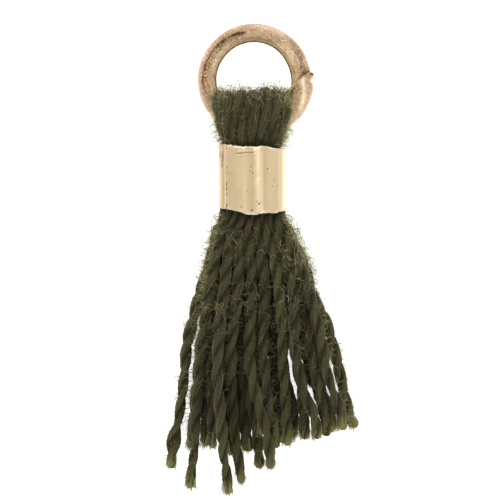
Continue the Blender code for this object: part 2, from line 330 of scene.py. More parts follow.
ring = {
    "centre": (-0.562, 13.112),
    "radius": 3.393,
    "flattened": (140.0, 30.0, 0.035),  # degree, half length and depth of a bend too tight
    "wire": 0.686,
    "ends": (0.08, 359.92),  # degrees round the ring, from the right
    "cutRounding": ((0.0, 0.90), (0.12, 0.96), (0.35, 0.985), (0.7, 0.997)),  # degrees, size
    "cutSlant": 0.9,
    "slantReach": 26.0,  # degrees over which the wire takes up the slant
    "tilt": 0.196,
    "proud": (285, 320, 345, 366),  # where the lower end starts, reaches, leaves and ends its spread
    "proudOut": 0.37,
    "proudShares": (0.16, 0.62),  # of that for the wire's middle, and more for its outer side
    "proudUp": 0.2,
    "rows": 400,
    "sides": 64,
    "seam": (  # degrees round the ring, how far outside the wire's middle, depth from 0 to 1
        (94, 0.02, 0.0),
        (101, 0.08, 0.35),
        (107, 0.13, 0.7),
        (116, 0.19, 0.9),
        (130, 0.21, 0.9),
        (150, 0.245, 0.7),
        (170, 0.29, 0.65),
        (184, 0.32, 0.6),
        (196, 0.33, 0.15),
    ),
    "seamWidth": 0.078,
    "seamDepth": 0.015,
    "haloWidth": 0.2652,  # of the worn metal beside the seam
    "thickened": ((24.0, 26.0, 0.04),),  # degree, half length and height, also of the next two
    "burr": ((356.0, 1.6, 0.12),),
    "notch": ((352.0, 1.3, 0.17),),
    "crushed": (318, 336),  # where the flattened end starts and is full
    "keel": ((318.0, 0.70), (336.0, 0.42), (352.0, 0.18)),  # degree and place across of its ridge, which is also painted as a highlight
    "keelWidth": 0.17,
    "keelHeight": 0.05,
    "innerShade": (0.76, 0.94, 0.80),  # painted dark reflection along the inner side of the wire: where it starts, is full, strength
    "cutShadow": (0.9, 0.32),  # painted shadow in the cut: degrees from the cut, strength
    "paintedGleams": (  # painted highlights: first and last degree, place across the wire, width, strength
        (118, 178, -0.50, 0.19, 1.0),
        (176, 235, -0.50, 0.13, 0.35),
        (13, 62, -0.50, 0.16, 0.90),
        (62, 130, -0.40, 0.20, 0.25),
        (8, 48, 0.10, 0.10, 0.65),
        (3, 24, 0.65, 0.18, 0.60),
        (44, 94, 0.62, 0.22, 0.55),
        (300, 352, 0.62, 0.25, 0.30),
    ),
    "paintedGleamFade": 14,  # degrees over which a painted gleam comes and goes
    "marks": (  # degree, place across the wire, half length, half width, strength
        (110.0, 0.00, 8.0, 0.28, 0.46),
        (104.0, 0.10, 4.0, 0.12, 0.22),
        (69.0, 0.14, 2.6, 0.05, 1.0),
        (60.0, 0.03, 2.4, 0.04, 0.6),
        (52.0, -0.14, 2.8, 0.07, 0.7),
        (47.0, 0.69, 1.0, 0.06, 0.6),
        (31.0, 0.28, 2.6, 0.07, 0.8),
        (20.5, 0.54, 1.6, 0.08, 0.8),
        (11.5, 0.20, 3.0, 0.11, 0.6),
        (171.0, 0.18, 1.0, 0.18, 0.6),
        (180.0, 0.08, 0.5, 0.30, 0.4),
        (186.0, 0.44, 4.5, 0.05, 0.45),
        (356.5, 0.95, 1.5, 0.25, 0.9),
        (358.2, 0.30, 1.8, 0.35, 0.35),
        (2.5, 0.25, 2.5, 0.55, 0.45),
        (345.0, -0.55, 9.0, 0.16, 0.6),
        (333.0, -0.62, 12.0, 0.14, 0.7),
        (206.0, -0.10, 3.5, 0.12, 0.5),
        (197.0, 0.30, 3.0, 0.08, 0.5),
    ),
    "stains": (
        (172.0, 0.08, 34.0, 0.50, 0.60),
        (124.0, 0.12, 26.0, 0.35, 0.50),
        (24.0, 0.35, 16.0, 0.40, 0.45),
        (348.0, -0.20, 8.0, 0.50, 0.45),
        (330.0, -0.40, 14.0, 0.35, 0.40),
        (75.0, -0.10, 16.0, 0.30, 0.25),
        (34.0, 0.85, 13.0, 0.35, 1.0),
        (3.5, 0.40, 5.0, 0.50, 0.90),
    ),
    "speckled": (
        (150.0, 0.10, 42.0, 0.45, 0.75),
        (113.0, 0.02, 13.0, 0.32, 0.95),
        (24.0, 0.25, 26.0, 0.50, 0.45),
        (341.0, -0.35, 16.0, 0.40, 1.0),
        (208.0, 0.10, 18.0, 0.50, 0.85),
        (66.0, 0.05, 16.0, 0.35, 0.30),
    ),
    "colours": {
        "inside": (218, 187, 143),
        "outside": (199, 171, 147),
        "rim": (207, 170, 143),
        # painted highlight colour of the gleams and glints
        "paintedHighlight": (255, 238, 200),
        "freckle": (166, 130, 96),
        "score": (158, 124, 90),
        "stain": (150, 118, 82),
        # brown of the patina, also used for the painted shade inside and at the cut
        "patinaAndShade": (92, 64, 36),
    },
    "roughness": 0.46,
}


def ringCentreLine(angle):
    # A circle, bent a little too tight at one place, that climbs over the hank as y falls
    middle, length, depth = ring["flattened"]
    radius = ring["radius"] - depth * bell(angle, middle, length)
    x = ring["centre"][0] + radius * np.cos(np.radians(angle))
    y = ring["centre"][1] + radius * np.sin(np.radians(angle))
    z = ring["wire"] + (ring["centre"][1] + ring["radius"] - y) * ring["tilt"]
    return np.stack([x, y, z], axis=-1)


def ringReliefs(angle, around):
    # Heights above the round wire: seam, hammered dents, flats, and the crushed end's keel,
    # burr and notch. Also gives the seam's and the keel's strength.
    out = np.cos(around)
    up = np.sin(around)
    places, offsets, depths = np.array(ring["seam"]).T
    seamAt = np.interp(angle, places, offsets) + 0.02 * drift(angle * 0.2, 0, 4)
    broken = np.clip(0.80 + 0.12 * drift(angle * 0.16, 0, 3) + 0.30 * drift(angle * 1.4, 0, 36), 0, 1)
    depth = np.interp(angle, places, depths, left=0, right=0) * broken
    seam = depth * bell(out * ring["wire"], seamAt, ring["seamWidth"]) * (up > 0)
    halo = depth * bell(out * ring["wire"], seamAt, ring["haloWidth"]) * (up > 0)
    dents = 0.010 * drift(angle * 0.12, around * 1.6, 5) + 0.006 * drift(angle * 0.5, around * 4, 6)
    dents = dents + stripes(angle, ring["thickened"])
    flat = 0.03 * smoothStep(up, 0.55, 1.0) * smoothStep(out, -0.5, 0.2)
    keelAt = np.interp(angle, *np.array(ring["keel"]).T)
    crushed = smoothStep(angle, *ring["crushed"]) * smoothStep(up, 0.1, 0.9)
    keel = crushed * bell(out, keelAt, ring["keelWidth"])
    outer = smoothStep(out, 0.5, 1)
    burr = stripes(angle, ring["burr"]) * outer
    notch = stripes(angle, ring["notch"]) * outer
    relief = dents - ring["seamDepth"] * seam - flat + ring["keelHeight"] * keel + burr - notch
    return relief, seam, halo, keel


def ringSurface():
    # A circle of the wire's radius plus its relief, carried along the centre line and square to
    # it. The last rows shrink to round off the cuts, both cuts lean by the slant, and the lower
    # end is sprung outwards and up.
    angle = np.linspace(*ring["ends"], ring["rows"])
    low, high = ring["ends"]
    fromCut, size = np.array(ring["cutRounding"]).T
    angle = np.concatenate([low + fromCut, angle[2:-2], high - fromCut[::-1]])
    endRow = np.minimum(np.arange(len(angle)), np.arange(len(angle))[::-1])
    shrink = np.interp(endRow, np.arange(5), [*size, 1.0])[:, None]
    line = ringCentreLine(angle)
    along = unit(np.gradient(line, axis=0))
    turn = np.radians(angle)
    outward = np.stack([np.cos(turn), np.sin(turn), np.zeros_like(turn)], axis=-1)
    outward = unit(outward - np.sum(outward * along, axis=1, keepdims=True) * along)
    upward = unit(np.cross(outward, along))
    around = np.linspace(0, 2 * np.pi, ring["sides"], endpoint=False)[None, :]
    angle = angle[:, None]
    relief, seam, halo, keel = ringReliefs(angle, around)
    radius = ring["wire"] * shrink + relief
    start, full, hold, end = ring["proud"]
    sprung = smoothStep(angle, start, full) * (1 - smoothStep(angle, hold, end))
    middleShare, outerShare = ring["proudShares"]
    spread = middleShare + outerShare * np.cos(around)
    aside = radius * np.cos(around) + ring["proudOut"] * sprung * spread
    rise = radius * np.sin(around) + ring["proudUp"] * sprung
    nearCut = 1 - smoothStep(np.minimum(angle - low, high - angle), 0, ring["slantReach"])
    shift = radius * np.cos(around) * ring["cutSlant"] * nearCut
    points = line[:, None] + aside[..., None] * outward[:, None]
    points = points + rise[..., None] * upward[:, None] + shift[..., None] * along[:, None]
    points[..., 2] = np.maximum(points[..., 2], 0)
    return points, angle, around, (seam, halo, keel)


def ringMarks():
    # Values that the brass reads: brown patina with painted shade inside and at the cut, soft stain,
    # how thick the specks are, painted gleam, the place across the wire from its inside, and a course
    # whose grain runs along the wire
    points, angle, around, (seam, halo, keel) = ringSurface()
    out = np.cos(around)
    up = np.sin(around)
    fromEnd = np.minimum(angle - ring["ends"][0], ring["ends"][1] - angle)
    # Painted dark reflection along the wire's inner side and painted shadow in the cut join the patina
    start, full, dark = ring["innerShade"]
    inside = smoothStep(-out, start, full) * dark
    reach, dark = ring["cutShadow"]
    cut = bell(fromEnd, 0, reach) * dark
    uneven = 0.75 + 0.45 * drift(angle * 0.35, around * 3.5, 9)
    marks = spots(angle, out, ring["marks"]) * (up > 0)
    patinaAndShade = 0.80 * seam + 0.42 * halo * uneven + inside + cut + marks
    stain = spots(angle, out, ring["stains"]) * uneven + 0.12 * drift(angle * 0.12, around * 2, 10)
    specks = 0.40 + spots(angle, out, ring["speckled"])
    # The keel's ridge and the gleams are painted highlights
    paintedGleam = keel
    for first, last, offset, wide, strength in ring["paintedGleams"]:
        fade = ring["paintedGleamFade"]
        inStretch = smoothStep(angle, first, first + fade) * (1 - smoothStep(angle, last - fade, last))
        patchy = 0.7 + 0.5 * drift(angle * 0.16, offset * 9, 29)
        paintedGleam = paintedGleam + strength * inStretch * patchy * bell(out, offset, wide)
    values = {"patinaAndShade": patinaAndShade, "stain": stain, "specks": specks, "paintedGleam": paintedGleam * (up > -0.4)}
    values = {name: np.clip(value, 0, 1) for name, value in values.items()}
    values["zone"] = np.broadcast_to(0.5 + 0.5 * out, patinaAndShade.shape)
    arc = np.radians(angle) * ring["radius"]
    course = np.broadcast_arrays(arc, out * ring["wire"], up * ring["wire"])
    values["course"] = np.stack(course, axis=-1)
    return points, values


def oldBrass():
    # Golden along the inside, rosy outside and pinker at the rim, with painted gleams and glints, and
    # brown where tarnish collects and as painted shade along the inner side and by the cut
    material, shader, place, hue = startMaterial("oldBrass", ring["colours"])
    patinaAndShade = marked(place, "patinaAndShade")
    mottled = grain(place, 900.0, 4.0, 0.6)
    fine = grain(place, 6000.0, 3.0, 0.6)
    drawn = grain(stretched(marked(place, "course", "Vector"), (0.7, 11.0, 11.0)), 1.0, 2.0, 0.6)
    zone = marked(place, "zone") + (mottled - 0.5) * 0.35 + (drawn - 0.5) * 0.3
    across = between(ranged(zone, 0.0, 1.0), hue["inside"], hue["outside"])
    metal = between(ranged(zone, 0.996, 1.0), across, hue["rim"])
    mixed = between(ranged(mottled, 0.35, 0.75), metal, between(fine, hue["freckle"], metal))
    scored = between(ranged(drawn, 0.54, 0.70, 0.0, 0.65), mixed, hue["score"])
    stained = marked(place, "stain") + (fine - 0.5) * 0.3
    worn = between(ranged(stained, 0.0, 1.0), scored, hue["stain"])
    paintedGleam = marked(place, "paintedGleam") * ranged(mottled, 0.25, 0.6, 0.6, 1.0)
    # Painted glints: small bright specks of highlight
    paintedGlint = ranged(grain(place, 7000.0, 2.0, 0.6), 0.58, 0.70, 0.0, 0.65)
    lit = between(paintedGlint, between(paintedGleam, worn, hue["paintedHighlight"]), hue["paintedHighlight"])
    pitted = ranged(grain(place, 7500.0, 2.0, 0.5), 0.50, 0.66) * marked(place, "specks")
    # Tarnish, with the painted shade along the inner side and by the cut
    tarnishAndShade = ranged(patinaAndShade + (fine - 0.5) * 0.35, 0.12, 0.95) + pitted * 0.75
    colour = between(tarnishAndShade, lit, hue["patinaAndShade"])
    rough = ring["roughness"] + (mottled - 0.5) * 0.25 + patinaAndShade * 0.35
    height = mottled * 0.5 + fine * 0.6 + drawn * 0.4 - patinaAndShade * 0.6 - pitted * 0.5
    normal = bumped(height, 0.00005, 0.9)
    feed(shader, {"Base Color": colour, "Roughness": rough, "Normal": normal}, {"Metallic": 1.0})
    return material


def makeRing():
    points, values = ringMarks()
    rows, sides = points.shape[:2]
    made = addMesh("jumpRing", points, tubeFaces(1, rows, sides), oldBrass(), values)
    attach(made, "root")
    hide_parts("ring")


makeRing()
print("the jump ring is made")


# The band: a brass strip wrapped round the hank, its free end lapped over the front left

band = {
    "sheet": 0.3,
    "width": 4.88,
    "depth": 3.4,
    "left": -3.11,
    "bend": 0.75,
    "dip": 0.1,
    "lapStart": -1.5,
    "lapEnd": -2.55,
    "lapPlay": 0.06,  # gap between the tucked end and the free end over it
    "edges": (  # x, top y, bottom y
        (-3.00, 8.44, 3.74),
        (-1.60, 8.25, 3.50),
        (-1.00, 8.23, 3.26),
        (-0.44, 8.22, 3.25),
        (0.04, 8.24, 3.38),
        (1.10, 8.10, 3.43),
        (1.77, 8.06, 3.63),
    ),
    "ridges": ((-0.11, 0.30, 0.10), (-1.12, 0.45, 0.07)),  # x, half width, height
    "ripples": ((-0.11, 0.30, 1.0), (-1.10, 0.35, 0.7)),  # x, half width, strength
    "columnSpacing": 0.065,
    "rows": 84,
    "pits": (  # x, y, radius
        (0.45, 6.60, 0.060),
        (-0.76, 6.75, 0.050),
        (-0.83, 6.43, 0.050),
        (-0.62, 6.28, 0.055),
        (-0.16, 4.06, 0.070),
        (-0.70, 3.60, 0.075),
        (0.98, 4.92, 0.035),
        (0.78, 5.30, 0.035),
        (1.20, 5.55, 0.030),
        (0.62, 5.02, 0.030),
        (-1.05, 5.00, 0.040),
        (-1.45, 3.80, 0.04),
        (-2.42, 3.66, 0.06),
        (-0.30, 4.22, 0.04),
    ),
    "lapDashes": (  # y, half height, strength
        (8.22, 0.24, 0.9),
        (6.68, 0.15, 1.0),
        (6.32, 0.11, 0.7),
        (5.34, 0.33, 0.9),
        (4.76, 0.11, 0.7),
        (3.89, 0.18, 1.0),
    ),
    "smears": (  # x, y, half width, half height, strength
        (-2.80, 7.55, 0.07, 0.34, 0.95),
        (-2.86, 6.95, 0.07, 0.30, 0.80),
        (-2.99, 7.60, 0.05, 0.60, 0.70),
        (-2.72, 5.00, 0.05, 0.60, 0.40),
        (-2.90, 4.10, 0.08, 0.30, 0.40),
    ),
    "scuffs": (  # x, y, half width, half height, strength
        (1.10, 5.40, 0.55, 0.80, 0.50),
        (-0.75, 6.40, 0.35, 0.50, 0.30),
        (0.60, 8.00, 1.20, 0.14, 0.60),
        (-1.90, 8.20, 0.60, 0.12, 0.45),
        (-0.20, 4.20, 0.45, 0.35, 0.35),
        (-2.35, 6.30, 0.25, 0.30, 0.35),
    ),
    "scratch": ((-1.80, 7.68), (-1.45, 7.73), (-1.05, 7.78), (-0.55, 7.79)),
    "scratchWidth": 0.042,
    "dent": ((-1.7, 7.98), (-0.6, 8.05)),
    "dentWidth": 0.16,
    "sunk": 0.03,  # depth of the dent and of each pit, and of the rolled edge
    "lipHighlight": ((-1.30, 7.90), (-0.95, 7.88), (-0.50, 7.93)),  # painted highlight line under the dent
    "facetShade": ((-1.50, 7.98), (-0.60, 8.02)),  # painted shade on the dull face of the dent
    "paintedGlints": ((-1.12, 0.22, 0.35), (-2.64, 0.05, 0.50)),  # painted highlight lines: x, half width, strength
    # painted shade lines beside the ridges: x, half width, strength
    "paintedShadeLines": ((-1.45, 0.09, 0.35), (0.17, 0.07, 0.35)),
    "rosyLines": ((0.14, 0.10, 0.30),),
    "colours": {
        "metal": (224, 202, 164),
        "cloud": (214, 191, 152),
        # colour of the painted highlights
        "paintedShine": (244, 224, 188),
        "blush": (212, 182, 150),
        # dull colour of the drawn grain and of the painted shade
        "grainAndPaintedShade": (196, 172, 124),
        # colour of the painted highlight along the rolled edges
        "burr": (255, 247, 222),
        "dirt": (92, 66, 36),
    },
    "roughness": 0.42,
}


def bandOutline():
    # x and z of the strip's outer face: from the tucked end, round the back, to the free end
    right = band["left"] + band["width"]
    front = band["depth"] - band["dip"]
    tucked = front - band["sheet"] - band["lapPlay"]
    bend = band["bend"]
    corners = (  # centre x and z, first and last angle
        (band["left"] + bend, tucked - bend, 90, 180),
        (band["left"] + bend, bend, 180, 270),
        (right - bend, bend, 270, 360),
        (right - bend, front - bend, 0, 90),
    )
    stretches = [np.array([[band["lapStart"], tucked]])]
    for x, z, first, last in corners:
        angle = np.radians(np.linspace(first, last, 13))
        stretches.append(np.stack([x + bend * np.cos(angle), z + bend * np.sin(angle)], axis=1))
    stretches.append(np.array([[band["lapEnd"], front]]))
    coarse = np.concatenate(stretches)
    length = np.concatenate([[0], np.cumsum(np.linalg.norm(np.diff(coarse, axis=0), axis=1))])
    at = np.linspace(0, length[-1], int(length[-1] / band["columnSpacing"]))
    return np.interp(at, length, coarse[:, 0]), np.interp(at, length, coarse[:, 1]), at / length[-1]


def distanceTo(points, x, y):
    # Shortest distance in the plane from each place to a line through a few points
    best = np.full(np.broadcast(x, y).shape, np.inf)
    for start, end in zip(points[:-1], points[1:]):
        step = np.subtract(end, start)
        fromX = x - start[0]
        fromY = y - start[1]
        share = np.clip((fromX * step[0] + fromY * step[1]) / (step @ step), 0, 1)
        best = np.minimum(best, np.hypot(fromX - share * step[0], fromY - share * step[1]))
    return best


def bandSurface():
    # The outline carried from the top edge to the bottom edge, both uneven. The front is raised
    # by its ridges, sunk at scratch and pits, and rolled over a little at its edges.
    x, z, share = bandOutline()
    places, tops, bottoms = np.array(band["edges"]).T
    held = np.clip(x, places[0], places[-1])
    top = curveThrough(places, tops, held) + 0.025 * drift(x * 3.1, z * 3, 11)
    bottom = curveThrough(places, bottoms, held) + 0.03 * drift(x * 4.3, z * 3, 12)
    top = top + 0.022 * drift(x * 6.5, z * 6, 38) + 0.022 * drift(x * 11, z * 9, 40)
    bottom = bottom + 0.028 * drift(x * 6.5, z * 6, 39)
    down = np.linspace(0, 1, band["rows"])[:, None]
    y = top[None] + (bottom - top)[None] * down
    x = np.broadcast_to(x, y.shape)
    z = np.broadcast_to(z, y.shape)
    share = np.broadcast_to(share, y.shape)
    front = band["depth"] - band["dip"]
    facing = (z > front - 0.02) * (share > 0.5)
    rise = np.minimum(stripes(x, band["ridges"]), band["dip"])
    scratch = bell(distanceTo(band["scratch"], x, y), 0, band["scratchWidth"])
    dent = bell(distanceTo(band["dent"], x, y), 0, band["dentWidth"])
    pits = spots(x, y, [(at, high, wide, wide, 1.0) for at, high, wide in band["pits"]])
    waves = 0.012 * drift(x * 1.3, y * 0.8, 13) + 0.006 * drift(x * 4, y * 2.2, 14)
    waves = waves + 0.0035 * stripes(x, band["ripples"]) * drift(x * 3, y * 7, 41)
    edge = np.minimum(top[None] - y, y - bottom[None])
    sunk = band["sunk"] * (dent + pits + bell(edge, 0, 0.12)) + 0.035 * scratch
    points = np.stack([x, y, z + facing * (rise - sunk + waves)], axis=-1)
    marks = {"facing": facing, "scratch": scratch, "pits": pits, "edge": edge, "share": share}
    return points, {"x": x, "y": y, **marks}


def bandTarnish(marks):
    # Brown dirt: along the lap, in the scratch and the pits, in specks and on the cut edges
    x = marks["x"]
    y = marks["y"]
    lapDistance = np.abs(x - band["lapEnd"] - 0.03 - 0.025 * drift(y * 3.3, 0, 37))
    dashes = sum(deep * np.exp(-(((y - at) / half) ** 4)) for at, half, deep in band["lapDashes"])
    dashes = dashes * (0.8 + 0.5 * drift(y * 9, 0, 16)) + 0.12
    lap = bell(lapDistance, 0, 0.05) * dashes * marks["facing"]
    scuffed = spots(x, y, band["scuffs"]) * marks["facing"]
    specks = drift(x * 11, y * 9, 17) + 0.5 * drift(x * 23, y * 20, 18) + scuffed
    specks = smoothStep(specks, 0.98, 1.3) * 0.6
    left = spots(x, y, band["smears"]) * (marks["share"] < 0.2) * (0.7 + 0.6 * drift(x * 9, y * 6, 19))
    edges = bell(marks["edge"], 0, 0.05) * smoothStep(drift(x * 7, y, 20), -0.1, 0.5) * 0.8
    pits = np.clip(1.25 * marks["pits"], 0, 0.9)
    return np.clip(lap + specks + left + edges + 0.75 * marks["scratch"] + pits, 0, 1)


def champagneBrass():
    # Pale drawn brass: painted highlights along the two ridges, the dent's lip, the right side and the
    # edges, painted shade on dull stretches, rosy towards the lap and the lower edge
    material, shader, place, hue = startMaterial("champagneBrass", band["colours"])
    dirt = marked(place, "dirt")
    drawn = grain(stretched(place, (9000.0, 260.0, 9000.0)), 1.0, 2.0, 0.5)
    cloudy = grain(place, 700.0, 3.0, 0.55)
    fine = grain(place, 9000.0, 2.0, 0.5)
    metal = between(ranged(cloudy, 0.3, 0.7), hue["metal"], hue["cloud"])
    metal = between(ranged(drawn, 0.3, 0.7, 0.0, 0.30), metal, hue["grainAndPaintedShade"])
    for mark in ("blush", "paintedShine", "grainAndPaintedShade", "burr"):
        metal = between(marked(place, mark), metal, hue[mark])
    colour = between(ranged(dirt + (fine - 0.5) * 0.3, 0.15, 0.9), metal, hue["dirt"])
    rough = band["roughness"] + (cloudy - 0.5) * 0.15 + dirt * 0.4
    height = drawn * 0.25 + cloudy * 0.5 - dirt * 0.5
    normal = bumped(height, 0.00002, 0.5)
    feed(shader, {"Base Color": colour, "Roughness": rough, "Normal": normal}, {"Metallic": 1.0})
    return material


def makeBand():
    # The strip as a sheet, given its wall by a modifier. Its marks are painted highlights along lines
    # and edges, rosy stretches, painted shade on dull stretches, and dirt.
    points, marks = bandSurface()
    x = marks["x"]
    y = marks["y"]
    # Painted highlights along the middle ridge and the dent's lip
    ridgeHighlight = 0.95 * bell(x + 0.02 * (y - 6), -0.11, 0.20)
    lipHighlight = 0.6 * bell(distanceTo(band["lipHighlight"], x, y), 0, 0.06)
    # Painted highlight towards the right side and its edge
    right = 0.30 * smoothStep(x, 0.22, 0.5) + 0.65 * smoothStep(x, 1.30, 1.55)
    # Painted shade on the dull face of the dent
    facetShade = 0.45 * bell(distanceTo(band["facetShade"], x, y), 0, 0.10)
    byLap = 0.75 * smoothStep(-x, 2.45, 2.75)
    lowRight = 0.45 * smoothStep(-y, -4.6, -3.5) * smoothStep(x, -0.8, 0.2)
    patchy = 0.35 + 0.65 * smoothStep(drift(x * 4, y * 0.5, 35), -0.4, 0.3)
    values = {
        "dirt": bandTarnish(marks),
        "paintedShine": ridgeHighlight + stripes(x, band["paintedGlints"]) + lipHighlight + right,
        "blush": byLap + lowRight + stripes(x, band["rosyLines"]),
        "grainAndPaintedShade": facetShade + stripes(x, band["paintedShadeLines"]),
        # Painted highlight along the rolled top and bottom edges of the front
        "burr": 0.9 * bell(marks["edge"], 0, 0.15) * patchy * marks["facing"],
    }
    values = {name: np.clip(value, 0, 1) for name, value in values.items()}
    faces = gridFaces(points.shape[0], points.shape[1], False)
    made = addMesh("brassBand", points, [faces], champagneBrass(), values)
    wall = made.modifiers.new("wall", "SOLIDIFY")
    wall.thickness = band["sheet"] * millimetre
    wall.offset = -1
    wall.use_even_offset = True
    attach(made, "root")
    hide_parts("band")


makeBand()
print("the band is made")


# The yarn: every cord is two plies wound round a line. The skirt's strands are laid row on row,
# and the head's loops pass over the ring.

yarn = {
    "rootY": 2.35,
    "hipY": -1.0,
    "kneeY": -8.0,
    "lastY": -17.25,
    "layStep": 0.25,
    "layGap": 0.04,
    "rootRadius": 0.25,
    "layRadius": 0.40,
    "easeSteps": 5,
    "rows": {  # x of the first strand and spacing at the root, then both at the hip
        "under": (-2.55, 0.63, -3.50, 1.07),
        "middle": (-3.17, 0.63, -3.98, 0.90),
        "upper": (-2.86, 0.63, -3.50, 0.92),
    },
    "rowHeights": {  # lowest height of a row at the root, hip, knee and tip
        "under": (0.80, 0.43, 0.43, 0.43),
        "middle": (1.58, 1.30, 0.60, 0.43),
        "upper": (2.36, 2.15, 1.20, 0.43),
    },
    "strands": (  # row, place in the row, x at the knee, x and y of the cut end, as they are laid
        ("under", 0, -4.59, -5.20, -13.65),
        ("under", 1, -4.08, -4.03, -13.50),
        ("under", 2, -2.72, -2.20, -14.15),
        ("under", 3, -1.66, -0.92, -13.88),
        ("under", 4, 0.94, 1.36, -13.25),
        ("under", 5, 3.48, 5.05, -12.50),
        ("under", 6, 4.10, 5.45, -12.20),
        ("middle", 0, -5.57, -6.58, -15.10),
        ("middle", 1, -3.62, -3.52, -13.60),
        ("middle", 2, -3.08, -2.95, -12.60),
        ("middle", 3, -1.34, -0.12, -15.10),
        ("middle", 4, -0.30, 0.15, -12.60),
        ("middle", 5, 1.62, 2.31, -13.00),
        ("middle", 6, 2.67, 3.14, -12.98),
        ("middle", 7, 3.86, 4.72, -12.70),
        ("middle", 8, 5.62, 6.88, -12.12),
        ("upper", 4, 0.20, 1.05, -13.55),
        ("upper", 0, -4.50, -5.21, -16.56),
        ("upper", 1, -3.20, -2.37, -17.00),
        ("upper", 2, -2.23, -1.42, -16.20),
        ("upper", 3, -0.76, 0.68, -15.05),
        ("upper", 5, 1.62, 1.88, -13.42),
        ("upper", 6, 2.68, 3.98, -12.90),
        ("upper", 7, 4.69, 5.92, -12.28),
    ),
    "sways": {  # y and x of other places that a strand passes through
        ("under", 0): ((-12.0, -5.00), (-10.0, -4.84), (-6.6, -4.50), (-5.4, -4.29)),
        ("under", 3): ((-13.0, -1.08), (-11.5, -1.26)),
        ("under", 4): ((-10.0, 1.10), (-5.2, 0.80)),
        ("under", 5): (
            (-11.0, 4.75),
            (-10.1, 4.24),
            (-9.3, 3.90),
            (-8.7, 3.55),
            (-7.0, 3.20),
            (-5.4, 2.80),
        ),
        ("under", 6): ((-11.5, 5.15), (-10.4, 4.68), (-9.7, 4.50), (-4.5, 3.60)),
        ("middle", 0): ((-13.0, -6.36), (-11.5, -6.02), (-6.2, -5.42), (-4.5, -5.01), (-2.2, -4.40)),
        ("middle", 3): ((-11.5, -0.48),),
        ("middle", 4): ((-10.5, 0.02),),
        ("middle", 5): ((-11.5, 2.30), (-10.8, 2.32), (-9.8, 2.10), (-8.7, 1.80), (-5.0, 1.60)),
        ("middle", 6): ((-11.5, 3.07), (-9.8, 2.95)),
        ("middle", 7): ((-11.0, 4.45),),
        ("middle", 8): ((-11.0, 6.21), (-9.0, 5.86), (-6.3, 5.22), (-4.2, 4.50), (-2.2, 3.50)),
        ("upper", 0): ((-14.9, -5.04), (-13.5, -4.83), (-11.5, -4.78)),
        ("upper", 1): ((-15.5, -2.53), (-14.0, -2.77), (-11.5, -2.90)),
        ("upper", 2): ((-14.0, -1.73), (-11.5, -2.02)),
        ("upper", 3): ((-13.0, 0.47), (-11.5, 0.08)),
        ("upper", 6): ((-11.9, 3.95), (-11.0, 3.70), (-10.1, 3.30), (-9.1, 2.99)),
        ("upper", 7): ((-11.0, 5.72), (-9.0, 4.99), (-6.0, 4.37)),
    },
    "swells": {("middle", 0): 0.36, ("middle", 8): 0.22},  # cut ends whose plies part
    "widths": {  # strands that are thicker than the rest
        ("middle", 0): 1.05,
        ("under", 3): 1.38,
        ("under", 4): 1.38,
        ("middle", 3): 1.08,
        ("upper", 3): 1.06,
        ("upper", 7): 1.06,
        ("upper", 4): 1.05,
        ("middle", 8): 1.15,
        ("upper", 6): 1.05,
        ("middle", 6): 1.07,
    },
    # Greener strands; middle 0 and middle 8, along the sides, as painted backlight
    "greenAndBacklit": {("upper", 5): 0.30, ("middle", 8): 0.15, ("middle", 0): 0.35},
    "rowShades": {  # painted shade: how dark each row is, and the strands of a row that show at the sides
        "under": 0.65,
        "middle": 0.35,
        "upper": 0.0,
        ("middle", 0): 0.04,
        ("middle", 1): 0.6,
        ("middle", 7): 0.1,
        ("middle", 8): 0.0,
        ("under", 6): 0.3,
    },
    "sidesSeen": {  # strands along the skirt's sides, and which way they look for the painted backlight
        ("middle", 0): -1.0,
        ("under", 0): -0.8,
        ("upper", 0): -0.7,
        ("middle", 8): 1.0,
        ("upper", 7): 0.7,
    },
    "floor": 0.02,  # lowest height of any yarn
    "neckTop": 4.4,
    "neckX": -0.67,
    "neckZ": 1.62,
    "gather": (0.20, 0.12),  # share by which the strands draw together there, across and in height
    "steps": 134,
    "sides": 12,
    "radii": (  # -y and radius
        (-3.6, 0.32),
        (-1.5, 0.36),
        (0.6, 0.415),
        (4.0, 0.405),
        (8.0, 0.385),
        (13.0, 0.37),
    ),
    "cutEnd": ((0, 0.40), (0.07, 0.66), (0.28, 0.92), (0.6, 1.0)),  # length left, share of the radius
    "waist": (3.3, 0.55),  # where the plies last cross, from the cut end, and half length
    "swell": (1.85, 0.72),
    "pitch": (3.3, 4.3),  # length of one full turn near the band and at the cut end
    "turnStep": 2.4,  # radians between the starting angles of one cord and the next
    "plyOffset": 0.47,  # shares of the radius: ply's middle, half thickness and half width
    "plyThick": 0.53,
    "plyWide": 0.71,
    "softening": 0.04,  # share by which the plies sink into each other near the band
    "ridges": ((0.011, 5), (0.008, 3)),  # height and number round a cord
    "lumps": ((0.016, 1.1), (0.010, 3.0)),  # height and number in one millimetre
    "uneven": (0.09, 0.7),  # share of the radius, and number in one millimetre
    "colours": {
        "darkBrown": (39, 34, 27),
        "darkGreen": (37, 36, 24),
        "lightBrown": (89, 80, 60),
        "lightGreen": (86, 82, 55),
        "tone": (94, 93, 50),
        "pale": (134, 129, 70),
        # colour of the painted shade
        "deep": (41, 37, 26),
        "sheen": (170, 175, 120),
    },
}

